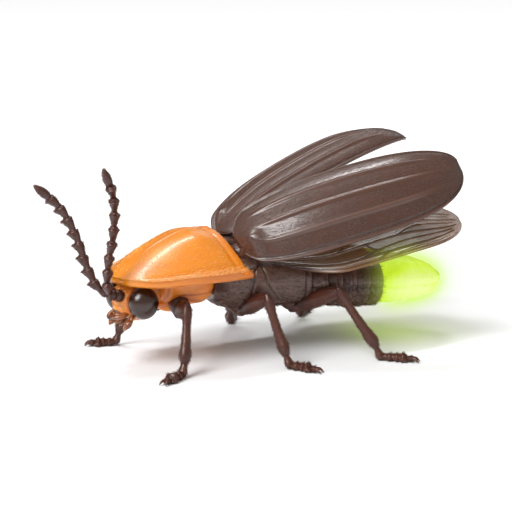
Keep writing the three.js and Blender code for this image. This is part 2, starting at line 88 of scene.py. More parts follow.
class Pair(Enum):
    """The three pairs of legs."""

    FORE = "fore"
    MID = "mid"
    HIND = "hind"


# Arithmetic


def lerp(a: float | Array, b: float | Array, t: float | Array) -> float | Array:
    """The value a share t of the way from a to b."""
    return a + (b - a) * t


def smoothstep(x: float | Array, low: float, high: float) -> float | Array:
    """A smooth step from 0 at low to 1 at high."""
    t = np.clip((np.asarray(x, float) - low) / (high - low), 0.0, 1.0)
    return t * t * (3.0 - 2.0 * t)


def bell(x: float | Array, width: float) -> float | Array:
    """A bell curve of height 1 that falls to a third at the given width."""
    return np.exp(-((np.asarray(x, float) / width) ** 2))


def unit(vectors: Array) -> Array:
    """The vectors at length 1."""
    size = np.linalg.norm(vectors, axis=-1, keepdims=True)
    return vectors / np.maximum(size, 1e-9)


def circle(count: int) -> Array:
    """Even angles round a circle."""
    return np.linspace(0, 2 * np.pi, count, endpoint=False)


def across_sheet(columns: int) -> Array:
    """Places from -1 to 1 that crowd towards both edges."""
    return np.sin(np.linspace(-np.pi / 2, np.pi / 2, columns))


def sheet_grid(rows: int, columns: int) -> list[Array]:
    """Shares along a sheet, and places across it from -1 to 1."""
    return np.meshgrid(np.linspace(0, 1, rows), across_sheet(columns), indexing="ij")


def on_side(points: Point | Array, side: Side) -> Array:
    """Points given for the left side, on the side that is asked for."""
    return np.array(points) * (side.value, 1, 1)


def through(steps: Array, values: Array, t: Array) -> Array:
    """A smooth curve through values at rising steps.

    Args:
        steps: Where each value holds.
        values: The values, one for each step.
        t: Where the curve is read.

    Returns:
        The curve's value at each t.
    """
    slopes = np.gradient(values, steps)
    i = np.clip(np.searchsorted(steps, t, side="right") - 1, 0, len(steps) - 2)
    gap = steps[i + 1] - steps[i]
    s = np.clip((t - steps[i]) / gap, 0.0, 1.0)
    start = (1 + 2 * s) * (1 - s) ** 2 * values[i] + s * (1 - s) ** 2 * gap * slopes[i]
    end = s * s * (3 - 2 * s) * values[i + 1] + s * s * (s - 1) * gap * slopes[i + 1]
    return start + end


def along_path(path: Array, shares: Array) -> Array:
    """Points on a path of straight steps.

    Args:
        path: The path's corners.
        shares: How far along its length each point lies, from 0 to 1.

    Returns:
        The points.
    """
    travelled = np.concatenate([[0], np.cumsum(np.linalg.norm(np.diff(path, axis=0), axis=1))])
    return np.stack([np.interp(shares * travelled[-1], travelled, path[:, k]) for k in range(3)], axis=-1)


def spline(knots: Array, count: int) -> Array:
    """Evenly spaced points on the smooth curve through the knots.

    Args:
        knots: The points that the curve passes.
        count: How many points are wanted.

    Returns:
        The points from the first knot to the last.
    """
    ends = np.concatenate([[2 * knots[0] - knots[1]], knots, [2 * knots[-1] - knots[-2]]])
    pieces = []
    for i in range(len(knots) - 1):
        p0, p1, p2, p3 = ends[i : i + 4]
        d0, d1, d2 = [max(np.linalg.norm(q - p), 1e-6) ** 0.5 for p, q in ((p0, p1), (p1, p2), (p2, p3))]
        t1 = d1 * ((p1 - p0) / d0 - (p2 - p0) / (d0 + d1) + (p2 - p1) / d1)
        t2 = d1 * ((p2 - p1) / d1 - (p3 - p1) / (d1 + d2) + (p3 - p2) / d2)
        t = np.linspace(0, 1, 80, endpoint=i == len(knots) - 2)[:, None]
        cubic = (2 * p1 - 2 * p2 + t1 + t2) * t**3 + (-3 * p1 + 3 * p2 - 2 * t1 - t2) * t**2
        pieces.append(cubic + t1 * t + p1)
    return along_path(np.concatenate(pieces), np.linspace(0, 1, count))


# Meshes


@dataclass
class Shape:
    """Points with faces and, at each point, a tone from -1, darkest, to 1, palest, which holds pigment and, on
    some pieces, painted shade and painted highlight.

    Hairs also have an unwrap, which holds each point's place on the map of their skins.
    """

    points: Array
    quads: Array
    tris: Array
    tone: Array
    unwrap: Array = field(default_factory=lambda: np.zeros((0, 2)))

    @staticmethod
    def joined(shapes: list["Shape"]) -> "Shape":
        """Joins shapes.

        Args:
            shapes: The shapes, all of them hairs or none of them.

        Returns:
            One shape with the points and faces of all.
        """
        starts = np.cumsum([0] + [len(s.points) for s in shapes[:-1]])
        return Shape(
            np.concatenate([s.points for s in shapes]),
            np.concatenate([s.quads + k for s, k in zip(shapes, starts)]),
            np.concatenate([s.tris + k for s, k in zip(shapes, starts)]),
            np.concatenate([s.tone for s in shapes]),
            np.concatenate([s.unwrap for s in shapes]),
        )

    @staticmethod
    def of_nets(nets: list["Net"]) -> "Shape":
        """The closed skins of ring nets as one shape."""
        return Shape.joined([net.skin() for net in nets])

    def count(self) -> int:
        """How many triangles the shape has."""
        return 2 * len(self.quads) + len(self.tris)


@dataclass
class Net:
    """A regular net of points: rows along a piece and columns across or around it."""

    points: Array
    ring: bool = False
    tone: Array | float = 0.0

    def __post_init__(self) -> None:
        """Gives every point its tone."""
        self.tone = np.broadcast_to(self.tone, self.points.shape[:2])

    def toned(self, tone: Array) -> "Net":
        """The net with the given tone at its rows or points."""
        return replace(self, tone=tone)

    def placed(self, place: "Place") -> "Net":
        """The net where it stands on the whole animal."""
        return replace(self, points=place.apply(self.points))

    def raised(self, height: Array) -> "Net":
        """The net moved along its normals by the given heights."""
        return replace(self, points=self.points + self.normals() * height[..., None])

    def shares(self) -> Array:
        """How far along the net each row is, from 0 to 1, as a column."""
        return np.linspace(0, 1, len(self.points))[:, None]

    def along(self) -> Array:
        """Unit directions down the columns."""
        return unit(np.gradient(self.points, axis=0))

    def normals(self) -> Array:
        """Works out which way the net faces.

        Returns:
            Unit normals, outward on a ring and upward on a sheet.
        """
        if self.ring:
            across = np.roll(self.points, -1, axis=1) - np.roll(self.points, 1, axis=1)
        else:
            across = np.gradient(self.points, axis=1)
        found = unit(np.cross(across, np.gradient(self.points, axis=0)))
        if self.ring:
            middle = self.points.mean(axis=1, keepdims=True)
            way = np.sum(found * (self.points - middle))
        else:
            way = np.sum(found[..., 2])
        return found if way > 0 else -found

    def faces(self, flip: bool = False) -> Array:
        """Joins the points into quads.

        Args:
            flip: True for faces that look the other way.

        Returns:
            Four point numbers for each quad.
        """
        rows, columns = self.points.shape[:2]
        index = np.arange(rows * columns).reshape(rows, columns)
        right = np.roll(index, -1, axis=1) if self.ring else index[:, 1:]
        left = index if self.ring else index[:, :-1]
        quads = np.stack([left[:-1], right[:-1], right[1:], left[1:]], axis=-1).reshape(-1, 4)
        return quads[:, ::-1] if flip else quads

    def skin(self) -> Shape:
        """Closes a ring net at both ends by a fan.

        Returns:
            The closed shape.
        """
        rows, columns = self.points.shape[:2]
        first = np.arange(columns)
        last = first + (rows - 1) * columns
        hub = rows * columns
        start = np.stack([np.full(columns, hub), np.roll(first, -1), first], axis=-1)
        end = np.stack([np.full(columns, hub + 1), last, np.roll(last, -1)], axis=-1)
        return Shape(
            np.concatenate([self.points.reshape(-1, 3), self.points[[0, -1]].mean(axis=1)]),
            self.faces(),
            np.concatenate([start, end]),
            np.concatenate([self.tone.reshape(-1), self.tone[[0, -1]].mean(axis=1)]),
        )

    def shell(self, thick: Array | float, ridge: Array | float, edge: float) -> Shape:
        """Makes a closed thin sheet under the net, with a rounded edge.

        Args:
            thick: Its thickness, below the net.
            ridge: How far its upper face stands over the net.
            edge: How far the middle of its edge bulges outward.

        Returns:
            The closed shape.
        """
        rows, columns = self.points.shape[:2]
        normals = self.normals()
        thick = np.broadcast_to(thick, (rows, columns))[..., None]
        ridge = np.broadcast_to(ridge, (rows, columns))[..., None]
        top = self.points + normals * ridge
        low = self.points - normals * thick
        out = np.zeros_like(self.points)
        out[:, 0] += unit(self.points[:, 0] - self.points[:, 1])
        out[:, -1] += unit(self.points[:, -1] - self.points[:, -2])
        out[0] += unit(self.points[0] - self.points[1])
        out[-1] += unit(self.points[-1] - self.points[-2])
        middle = self.points - normals * thick / 2 + unit(out) * edge
        index = np.arange(rows * columns).reshape(rows, columns)
        loop = np.concatenate([index[0], index[1:, -1], index[-1, -2::-1], index[-2:0:-1, 0]])
        after = np.roll(loop, -1)
        size = rows * columns
        rim = 2 * size + np.arange(len(loop))
        beyond = np.roll(rim, -1)
        upper = np.stack([loop, after, beyond, rim], axis=-1)
        lower = np.stack([rim, beyond, after + size, loop + size], axis=-1)
        tone = self.tone.reshape(-1)
        return Shape(
            np.concatenate([top.reshape(-1, 3), low.reshape(-1, 3), middle.reshape(-1, 3)[loop]]),
            np.concatenate([self.faces(), self.faces(flip=True) + size, upper, lower]),
            np.zeros((0, 3), int),
            np.concatenate([tone, tone, tone[loop]]),
        )


@dataclass(frozen=True)
class Place:
    """A place on the animal: the forebody is turned about the neck joint, the rest isn't."""

    turn: float

    def apply(self, points: Array) -> Array:
        """Turns points and moves them to the frame's origin.

        Args:
            points: Points as the sizes here give them.

        Returns:
            The points in the frame of the whole animal.
        """
        angle = math.radians(self.turn)
        x = points[..., 0] * math.cos(angle) - points[..., 1] * math.sin(angle)
        y = points[..., 0] * math.sin(angle) + points[..., 1] * math.cos(angle) + MIDDLE_Y
        return np.stack([x, y, points[..., 2]], axis=-1)


FRONT = Place(HEAD_TURN)
REAR = Place(0.0)


def section(y: Array, level: Array, half: Array, up: Array, down: Array, power: float, sides: int) -> Array:
    """Makes closed sections across Y.

    Args:
        y: Where each section lies.
        level: The height of its widest place.
        half: Half its width.
        up: Its height over its level.
        down: Its depth under its level.
        power: 2 for an ellipse, more for flatter sides.
        sides: Points around each section.

    Returns:
        The points as rows of sections, which start at the animal's left and turn over its back.
    """
    turn = circle(sides)
    c, s = np.cos(turn), np.sin(turn)
    wide = np.sign(c) * np.abs(c) ** (2 / power)
    high = np.sign(s) * np.abs(s) ** (2 / power)
    rise = np.where(high > 0, np.multiply.outer(up, high), np.multiply.outer(down, high))
    x = np.multiply.outer(half, wide)
    return np.stack([x, np.broadcast_to(y[:, None], x.shape), level[:, None] + rise], axis=-1)


def globe(ball: Ball, nod: float = 0.0, rows: int = 48, sides: int = 64) -> Net:
    """Makes an ellipsoid with its poles at front and rear.

    Args:
        ball: Its middle and half sizes.
        nod: Degrees that its front nods down.
        rows: Rows of points from pole to pole.
        sides: Points around it.

    Returns:
        A ring net from its front to its rear.
    """
    centre, radii = ball
    v = np.linspace(POLE_GAP, np.pi - POLE_GAP, rows)
    turn = circle(sides)
    x = np.multiply.outer(np.sin(v), np.cos(turn)) * radii[0]
    y = np.repeat(-np.cos(v)[:, None], sides, axis=1) * radii[1]
    z = np.multiply.outer(np.sin(v), np.sin(turn)) * radii[2]
    a = math.radians(-nod)
    points = np.stack([x, y * math.cos(a) - z * math.sin(a), y * math.sin(a) + z * math.cos(a)], axis=-1)
    return Net(points + np.array(centre), ring=True)


def swept(line: Array, profile: Profile, side: Array, flat: float, sides: int = 24, cap: float = 0.6) -> Net:
    """Makes a limb along a line.

    Args:
        line: Points of its centre line.
        profile: Rows of a share of the length, a radius and, where it has one, a shift towards the side.
        side: A direction in the plane of the limb's width.
        flat: Its depth as a share of its width.
        sides: Points around it.
        cap: How round its ends are.

    Returns:
        A ring net from its root to its tip.
    """
    size = np.linalg.norm(np.diff(line, axis=0), axis=1)
    share = np.concatenate([[0], np.cumsum(size)]) / size.sum()
    steps = np.array([p[0] for p in profile])
    steps = (steps - steps[0]) / (steps[-1] - steps[0])
    radius = np.maximum(LEAST_RADIUS, through(steps, np.array([p[1] for p in profile]), share))
    shift = through(steps, np.array([p[2] if len(p) > 2 else 0.0 for p in profile]), share)
    ahead = unit(np.gradient(line, axis=0))
    across = unit(np.cross(ahead, np.broadcast_to(side, ahead.shape)))
    broad = unit(np.cross(across, ahead))
    bend = np.linspace(0, np.pi / 2, CAP_ROWS + 1)[1:]
    starts = [(-cap * radius[0] * math.sin(b), math.cos(b)) for b in bend[::-1]]
    ends = [(cap * radius[-1] * math.sin(b), math.cos(b)) for b in bend]
    rows = [(line[0] + ahead[0] * o, radius[0] * max(k, 0.05), shift[0], 0) for o, k in starts]
    rows += [(line[i], radius[i], shift[i], i) for i in range(len(line))]
    rows += [(line[-1] + ahead[-1] * o, radius[-1] * max(k, 0.05), shift[-1], -1) for o, k in ends]
    turn = circle(sides)
    rings = []
    for centre, r, moved, i in rows:
        wide = np.multiply.outer(np.cos(turn), broad[i]) * r
        deep = np.multiply.outer(np.sin(turn), across[i]) * r * flat
        rings.append(centre + broad[i] * moved + wide + deep)
    return Net(np.array(rings), ring=True)


def limb(a: Point, b: Point, profile: Profile, side: Point, flat: float = 1.0, bow: float = 0.0) -> Net:
    """Makes a limb between two points.

    Args:
        a: Its root.
        b: Its tip.
        profile: Rows of a share of the way and a radius. They may start before a and end past b.
        side: A direction in the plane of its width.
        flat: Its depth as a share of its width.
        bow: How far its middle bends towards the side.

    Returns:
        A ring net from its root to its tip.
    """
    share = np.linspace(profile[0][0], profile[-1][0], LIMB_ROWS)
    line = np.array(a) + np.multiply.outer(share, np.array(b) - np.array(a))
    line = line + np.multiply.outer(np.sin(np.pi * np.clip(share, 0, 1)) * bow, unit(np.array(side, float)))
    return swept(line, profile, np.array(side, float), flat)


# Hairs


def inside(values: Array, r: Array, c: Array, a: Array, b: Array) -> Array:
    """Reads a net's values between its points.

    Args:
        values: The values at the points.
        r: The row of each cell that is read.
        c: Its column.
        a: How far down the cell the place lies, from 0 to 1.
        b: How far across the cell it lies.

    Returns:
        The value at each place.
    """
    return lerp(lerp(values[r, c], values[r + 1, c], a), lerp(values[r, c + 1], values[r + 1, c + 1], a), b)


@dataclass(frozen=True)
class Coat:
    """Short stiff hairs on a skin: how many, how long and how they lie.

    A real hair is about 0.005 mm thick. These are two to four times that, so that they show. Back is 1 where
    they point down the columns of their net, and -1 where they point up them.
    """

    count: int
    long: float
    thick: float = 0.02
    lift: float = 0.35
    stray: float = 0.25
    back: float = 1.0

    def grown(self, net: Net, seed: int, where: Array | None, tile: tuple[int, int]) -> Shape:
        """Grows the hairs along the net's columns.

        Args:
            net: The skin that they grow on.
            seed: Picks their places.
            where: How densely they grow at each point of the net, or None for evenly.
            tile: Which of how many tiles of the unwrap this skin takes.

        Returns:
            The hairs as one shape of three-sided tapering spikes.
        """
        rng = np.random.default_rng(seed)
        rows, columns = net.points.shape[:2]
        down = np.diff(net.points, axis=0)[:, : columns - 1]
        over = np.diff(net.points, axis=1)[: rows - 1]
        area = np.linalg.norm(np.cross(down, over), axis=-1)
        if where is not None:
            area = area * where[: rows - 1, : columns - 1]
        chance = area.reshape(-1) / area.sum()
        cell = rng.choice(len(chance), self.count, p=chance)
        r, c = np.divmod(cell, columns - 1)
        a, b = rng.random((2, self.count, 1))
        root = inside(net.points, r, c, a, b)
        up = unit(inside(net.normals(), r, c, a, b))
        ahead = unit(inside(net.along() * self.back, r, c, a, b))
        ahead = unit(ahead + unit(np.cross(up, ahead)) * rng.normal(0, self.stray, (self.count, 1)))
        size = self.long * rng.uniform(0.7, 1.25, (self.count, 1))
        rise = self.lift * rng.uniform(0.6, 1.4, (self.count, 1))
        middle = root + size * (0.5 * ahead + 0.62 * rise * up)
        tip = root + size * (ahead + rise * up * 0.8)
        side = unit(np.cross(ahead, up))
        thick = self.thick * rng.uniform(0.8, 1.2, (self.count, 1)) / 2
        corners = [side, -0.5 * side + 0.87 * up, -0.5 * side - 0.87 * up]
        base = [root + d * thick - up * thick for d in corners]
        waist = [middle + d * thick * 0.75 for d in corners]
        hair = [*base, *waist, tip]
        start = np.arange(self.count)[:, None] * len(hair)
        tone = np.repeat(rng.uniform(-0.5, 0.5, self.count), len(hair))
        return Shape(
            np.stack(hair, axis=1).reshape(-1, 3),
            np.concatenate([start + [i, (i + 1) % 3, (i + 1) % 3 + 3, i + 3] for i in range(3)]),
            np.concatenate([start + [i + 3, (i + 1) % 3 + 3, 6] for i in range(3)]),
            tone,
            self.patches((c[:, None] + b) / (columns - 1), (r[:, None] + a) / (rows - 1), tile),
        )

    def patches(self, u: Array, v: Array, tile: tuple[int, int]) -> Array:
        """Lays each hair out as a small patch at its root's place on the skin's map.

        Args:
            u: Each root's share of the way across its skin.
            v: Its share of the way along.
            tile: Which of how many tiles of the map the skin takes.

        Returns:
            A place on the map for each of the seven points of each hair.
        """
        grid = math.ceil(math.sqrt(tile[1]))
        corner = np.array([tile[0] % grid, tile[0] // grid]) / grid + TUFT_PATCH
        spots = np.array([[-1, -1], [0, -1], [1, -1], [-1, 0], [0, 0], [1, 0], [0, 1]]) * TUFT_PATCH / 2
        roots = np.concatenate([u, v], axis=1)[:, None] * (1 / grid - 2 * TUFT_PATCH)
        return (roots + corner + spots).reshape(-1, 2)


def hairs_on(skins: list[tuple[Coat, Net]], seed: int, where: Array | None = None) -> Shape:
    """Grows hairs on one or more skins, each of which has its own tile of the unwrap.

    Args:
        skins: Each skin with its coat.
        seed: Picks the places on the first skin. Each later skin takes the next number.
        where: How densely hairs grow at each point of the first skin, or None for evenly.

    Returns:
        All the hairs as one shape.
    """
    grown = []
    for i, (coat, net) in enumerate(skins):
        grown.append(coat.grown(net, seed + i, None if i else where, (i, len(skins))))
    return Shape.joined(grown)


# Finishes


def linear(colour: str) -> tuple[float, float, float, float]:
    """Turns an sRGB colour to linear values.

    Args:
        colour: The colour in hex, such as #FFFFFF.

    Returns:
        Its red, green and blue, with full opacity.
    """
    parts = [int(colour[i : i + 2], 16) / 255 for i in (1, 3, 5)]
    flat = [c / 12.92 if c <= 0.04045 else ((c + 0.055) / 1.055) ** 2.4 for c in parts]
    return (flat[0], flat[1], flat[2], 1.0)


def add_node(
    tree: bpy.types.NodeTree, kind: str, inputs: dict[str | int, object] | None = None, **settings: object
) -> bpy.types.Node:
    """Adds a node to a tree.

    Args:
        tree: The tree that takes it.
        kind: The node's type.
        inputs: What its inputs take, by name or index: a value, a socket, or a node for its first socket.
        **settings: Its own properties.

    Returns:
        The node.
    """
    node = tree.nodes.new(kind)
    for name, value in settings.items():
        setattr(node, name, value)
    for name, value in (inputs or {}).items():
        source = value.outputs[0] if isinstance(value, bpy.types.Node) else value
        if isinstance(source, bpy.types.NodeSocket):
            tree.links.new(source, node.inputs[name])
        else:
            node.inputs[name].default_value = source
    return node


@dataclass(frozen=True)
class Finish:
    """What a surface is made of, and the record's slot for it."""

    name: str
    slot: str

    def nodes(self, tree: bpy.types.NodeTree) -> None:
        """Fills the material's empty node tree."""
        raise NotImplementedError

    def material(self) -> bpy.types.Material:
        """Makes the finish's material, once.

        Returns:
            The material.
        """
        found = bpy.data.materials.get(self.name)
        if found is None:
            found = bpy.data.materials.new(self.name)
            found.use_nodes = True
            found.node_tree.nodes.clear()
            self.nodes(found.node_tree)
        return found


@dataclass(frozen=True)
class Cuticle(Finish):
    """Hard insect cuticle: tanned chitin under a thin layer of wax, which gives it a soft deep gloss.

    Pits are where hairs grow. Grain is the fine net of its cells, which is really about 0.01 mm across and is
    drawn some three times as coarse, so that it shows. Light that enters the cuticle goes as deep as
    glow_depth, times glow_colours for its red, green and blue.
    """

    main: str
    deep: str
    pale: str
    patch: float = 0.9
    mottle: float = 0.35
    pit: float = 0.14
    pit_depth: float = 0.008
    grain: float = 0.035
    grain_depth: float = 0.003
    ior: float = 1.56
    roughness: float = 0.34
    coat: float = 0.4
    coat_roughness: float = 0.16
    glow_through: float = 0.0
    glow_depth: float = 0.35
    glow_colours: Point = (1.0, 0.45, 0.2)

    def nodes(self, tree: bpy.types.NodeTree) -> None:
        """Lays colour by patches and tone, pits and grain as bump, and wax as a coat.

        Args:
            tree: The material's empty node tree.
        """
        where = add_node(tree, "ShaderNodeTexCoord").outputs["Object"]
        tone = add_node(tree, "ShaderNodeAttribute", attribute_name="tone").outputs["Fac"]
        patch_scale = 1 / (self.patch * MM)
        cloudy = {"Vector": where, "Scale": patch_scale, "Detail": 5.0, "Roughness": 0.6}
        patches = add_node(tree, "ShaderNodeTexNoise", cloudy)
        edges = {"Value": patches, "From Min": 0.35, "From Max": 0.68, "To Max": self.mottle}
        mottled = add_node(tree, "ShaderNodeMapRange", edges)
        # Tone pulls the colour towards deep and pale: pigment, and on some pieces painted shade and painted
        # highlight.
        darker = add_node(tree, "ShaderNodeMath", {0: tone, 1: -1.0}, operation="MULTIPLY", use_clamp=True)
        paler = add_node(tree, "ShaderNodeMath", {0: tone, 1: 1.0}, operation="MULTIPLY", use_clamp=True)
        colour = linear(self.main)
        for share, other in ((mottled, self.deep), (darker, self.deep), (paler, self.pale)):
            blend = {"Factor": share, 6: colour, 7: linear(other)}
            colour = add_node(tree, "ShaderNodeMix", blend, data_type="RGBA").outputs[2]
        pit_scale = 1 / (self.pit * MM)
        spaced = {"Vector": where, "Scale": pit_scale, "Randomness": 0.8}
        pits = add_node(tree, "ShaderNodeTexVoronoi", spaced)
        bowl = {"Value": pits, "From Min": 0.1, "From Max": 0.45}
        bowls = add_node(tree, "ShaderNodeMapRange", bowl, interpolation_type="SMOOTHSTEP")
        dented = add_node(tree, "ShaderNodeBump", {"Height": bowls, "Distance": self.pit_depth * MM})
        grain_scale = 1 / (self.grain * MM)
        cells = add_node(tree, "ShaderNodeTexNoise", {"Vector": where, "Scale": grain_scale, "Detail": 3.0})
        relief = {"Height": cells, "Distance": self.grain_depth * MM, "Normal": dented}
        grained = add_node(tree, "ShaderNodeBump", relief)
        wear = {"Value": patches, "To Min": self.roughness - 0.07, "To Max": self.roughness + 0.1}
        shader = add_node(
            tree,
            "ShaderNodeBsdfPrincipled",
            {
                "Base Color": colour,
                "IOR": self.ior,
                "Roughness": add_node(tree, "ShaderNodeMapRange", wear),
                "Normal": grained,
                "Coat Weight": self.coat,
                "Coat Roughness": self.coat_roughness,
                "Subsurface Weight": self.glow_through,
                "Subsurface Radius": self.glow_colours,
                "Subsurface Scale": self.glow_depth * MM,
            },
        )
        add_node(tree, "ShaderNodeOutputMaterial", {"Surface": shader})


@dataclass(frozen=True)
class Lens(Finish):
    """The clear domes of a compound eye over dark pigment: very smooth, with a bright wet-looking glint."""

    main: str
    deep: str
    cloud: float = 0.7

    def nodes(self, tree: bpy.types.NodeTree) -> None:
        """Lays dark pigment with a faint cloud of brown under a clear coat.

        Args:
            tree: The material's empty node tree.
        """
        where = add_node(tree, "ShaderNodeTexCoord").outputs["Object"]
        cloud_scale = 1 / (self.cloud * MM)
        clouds = add_node(tree, "ShaderNodeTexNoise", {"Vector": where, "Scale": cloud_scale, "Detail": 2.0})
        blend = {"Factor": clouds, 6: linear(self.deep), 7: linear(self.main)}
        body = add_node(tree, "ShaderNodeMix", blend, data_type="RGBA").outputs[2]
        shader = add_node(
            tree,
            "ShaderNodeBsdfPrincipled",
            {"Base Color": body, "IOR": 1.45, "Roughness": 0.1, "Coat Weight": 0.5, "Coat Roughness": 0.03},
        )
        add_node(tree, "ShaderNodeOutputMaterial", {"Surface": shader})


@dataclass(frozen=True)
class Membrane(Finish):
    """A hind wing's membrane: two thin clear layers, smoky brown, with solid dark veins where tone is low."""

    main: str
    vein: str
    opacity: float
    cloud: float = 1.2
    wrinkle: float = 0.12
    wrinkle_depth: float = 0.006

    def nodes(self, tree: bpy.types.NodeTree) -> None:
        """Lays a smoky film that lets light through, and opaque veins.

        Args:
            tree: The material's empty node tree.
        """
        where = add_node(tree, "ShaderNodeTexCoord").outputs["Object"]
        tone = add_node(tree, "ShaderNodeAttribute", attribute_name="tone").outputs["Fac"]
        veins = add_node(tree, "ShaderNodeMath", {0: tone, 1: -1.0}, operation="MULTIPLY", use_clamp=True)
        cloud_scale = 1 / (self.cloud * MM)
        clouds = add_node(tree, "ShaderNodeTexNoise", {"Vector": where, "Scale": cloud_scale, "Detail": 4.0})
        blend = {"Factor": veins, 6: linear(self.main), 7: linear(self.vein)}
        smoke = add_node(tree, "ShaderNodeMix", blend, data_type="RGBA").outputs[2]
        film = {"Value": clouds, "From Min": 0.3, "From Max": 0.7}
        film |= {"To Min": self.opacity - 0.05, "To Max": self.opacity + 0.08}
        cover = add_node(tree, "ShaderNodeMapRange", film)
        opaque = add_node(tree, "ShaderNodeMath", {0: cover, 1: veins}, operation="ADD", use_clamp=True)
        wrinkle_scale = 1 / (self.wrinkle * MM)
        crinkled = {"Vector": where, "Scale": wrinkle_scale, "Detail": 3.0, "Distortion": 0.6}
        wrinkles = add_node(tree, "ShaderNodeTexNoise", crinkled)
        creased = add_node(tree, "ShaderNodeBump", {"Height": wrinkles, "Distance": self.wrinkle_depth * MM})
        gloss = {"IOR": 1.5, "Roughness": 0.24, "Coat Weight": 0.12, "Coat Roughness": 0.1}
        looks = {"Base Color": smoke, "Alpha": opaque, "Normal": creased, **gloss}
        shader = add_node(tree, "ShaderNodeBsdfPrincipled", looks)
        add_node(tree, "ShaderNodeOutputMaterial", {"Surface": shader})


@dataclass(frozen=True)
class Lamp(Finish):
    """The lantern: clear cuticle over packed light cells, which glow yellow-green and look finely granular.

    The cells are about 0.02 mm across, and their clusters are drawn at 0.09 mm, so that they show.
    """

    heart: str
    main: str
    rim: str
    dark: str
    unlit: str
    power: float
    cluster: float = 0.09
    cluster_depth: float = 0.008
    cloud: float = 0.8

    def nodes(self, tree: bpy.types.NodeTree) -> None:
        """Lays light by tone, from the rim's green to the pale heart, broken up by the clusters. The green rim
        and the pale heart are painted shade and painted highlight on the glow.

        Args:
            tree: The material's empty node tree.
        """
        where = add_node(tree, "ShaderNodeTexCoord").outputs["Object"]
        tone = add_node(tree, "ShaderNodeAttribute", attribute_name="tone").outputs["Fac"]
        clusters = add_node(tree, "ShaderNodeTexVoronoi", {"Vector": where, "Scale": 1 / (self.cluster * MM)})
        cloud_scale = 1 / (self.cloud * MM)
        clouds = add_node(tree, "ShaderNodeTexNoise", {"Vector": where, "Scale": cloud_scale, "Detail": 4.0})
        light = tone
        for source, low, first, last in ((clouds, 0.3, -0.03, 0.05), (clusters, 0.0, 0.05, -0.07)):
            span = {"Value": source, "From Min": low, "From Max": 0.7, "To Min": first, "To Max": last}
            uneven = add_node(tree, "ShaderNodeMapRange", span)
            light = add_node(tree, "ShaderNodeMath", {0: light, 1: uneven}, operation="ADD")
        ramp = add_node(tree, "ShaderNodeValToRGB", {"Fac": light})
        for place, colour in ((0.3, self.rim), (0.62, self.main)):
            ramp.color_ramp.elements.new(place).color = linear(colour)
        ramp.color_ramp.elements[0].color = linear(self.dark)
        ramp.color_ramp.elements[-1].color = linear(self.heart)
        bumps = add_node(tree, "ShaderNodeBump", {"Height": clusters, "Distance": self.cluster_depth * MM})
        blend = {"Factor": 0.7, 6: ramp, 7: linear(self.unlit)}
        unlit = add_node(tree, "ShaderNodeMix", blend, data_type="RGBA").outputs[2]
        gloss = {"IOR": 1.5, "Roughness": 0.35, "Coat Weight": 0.2, "Coat Roughness": 0.12}
        glow = {"Emission Color": ramp, "Emission Strength": self.power}
        looks = {"Base Color": unlit, "Normal": bumps, **gloss, **glow}
        shader = add_node(tree, "ShaderNodeBsdfPrincipled", looks)
        add_node(tree, "ShaderNodeOutputMaterial", {"Surface": shader})


@dataclass(frozen=True)
class Hair(Finish):
    """Fine stiff insect hair: smooth chitin, with a soft silky shine along it."""

    main: str
    pale: str

    def nodes(self, tree: bpy.types.NodeTree) -> None:
        """Makes each hair a little paler or darker than the next.

        Args:
            tree: The material's empty node tree.
        """
        tone = add_node(tree, "ShaderNodeAttribute", attribute_name="tone").outputs["Fac"]
        share = add_node(tree, "ShaderNodeMath", {0: tone, 1: 0.5}, operation="ADD", use_clamp=True)
        blend = {"Factor": share, 6: linear(self.main), 7: linear(self.pale)}
        body = add_node(tree, "ShaderNodeMix", blend, data_type="RGBA").outputs[2]
        looks = {"Base Color": body, "IOR": 1.55, "Roughness": 0.55}
        shader = add_node(tree, "ShaderNodeBsdfPrincipled", looks)
        add_node(tree, "ShaderNodeOutputMaterial", {"Surface": shader})


# A smooth, waxed plate that light enters a little: clear warm orange with one broad soft highlight.
SHIELD_CUTICLE = Cuticle(
    "Orange shield cuticle, smooth and waxed",
    "shield_orange",
    main="#D98209",
    deep="#C45A08",
    pale="#F2AA42",
    patch=1.8,
    mottle=0.28,
    pit=0.16,
    pit_depth=0.004,
    grain_depth=0.0015,
    roughness=0.32,
    coat=0.36,
    coat_roughness=0.14,
    glow_through=0.2,
)
# Softer cuticle than the shield's, with finer pits: a fleshier, redder orange.
FACE_CUTICLE = Cuticle(
    "Orange head and neck cuticle, smooth",
    "face_orange",
    main="#EE8C22",
    deep="#A84A10",
    pale="#FDB95F",
    patch=0.8,
    pit=0.11,
    pit_depth=0.005,
    glow_through=0.15,
)
# The hardest cuticle of the animal, worn smooth: dark amber with small bright glints.
MOUTH_CUTICLE = Cuticle(
    "Amber jaw and palp cuticle, polished",
    "face_orange",
    main="#7A3A17",
    deep="#2C110A",
    pale="#B56A2C",
    patch=0.5,
    pit=0.08,
    pit_depth=0.003,
    roughness=0.28,
    coat=0.5,
)
# Glassy domes on a ground that takes nearly all light: wet black with a brown depth.
EYE_LENS = Lens("Eye lenses over dark pigment", "eye_black", main="#3A1D14", deep="#160B08")
# Thick and little waxed: dark brown limbs with dull highlights that keep their joints readable.
LIMB_CUTICLE = Cuticle(
    "Dark brown leg and feeler cuticle",
    "limb_brown",
    main="#42190D",
    deep="#210B05",
    pale="#6C3A22",
    patch=0.7,
    pit=0.1,
    pit_depth=0.006,
    coat=0.1,
)
# Finely shagreened plates: blotched brown with a broken, silky shine.
BELLY_CUTICLE = Cuticle(
    "Brown body plate cuticle, finely shagreened",
    "belly_brown",
    main="#5A3B30",
    deep="#301C15",
    pale="#98745F",
    mottle=0.5,
    pit=0.13,
    pit_depth=0.007,
    roughness=0.38,
    coat=0.3,
)
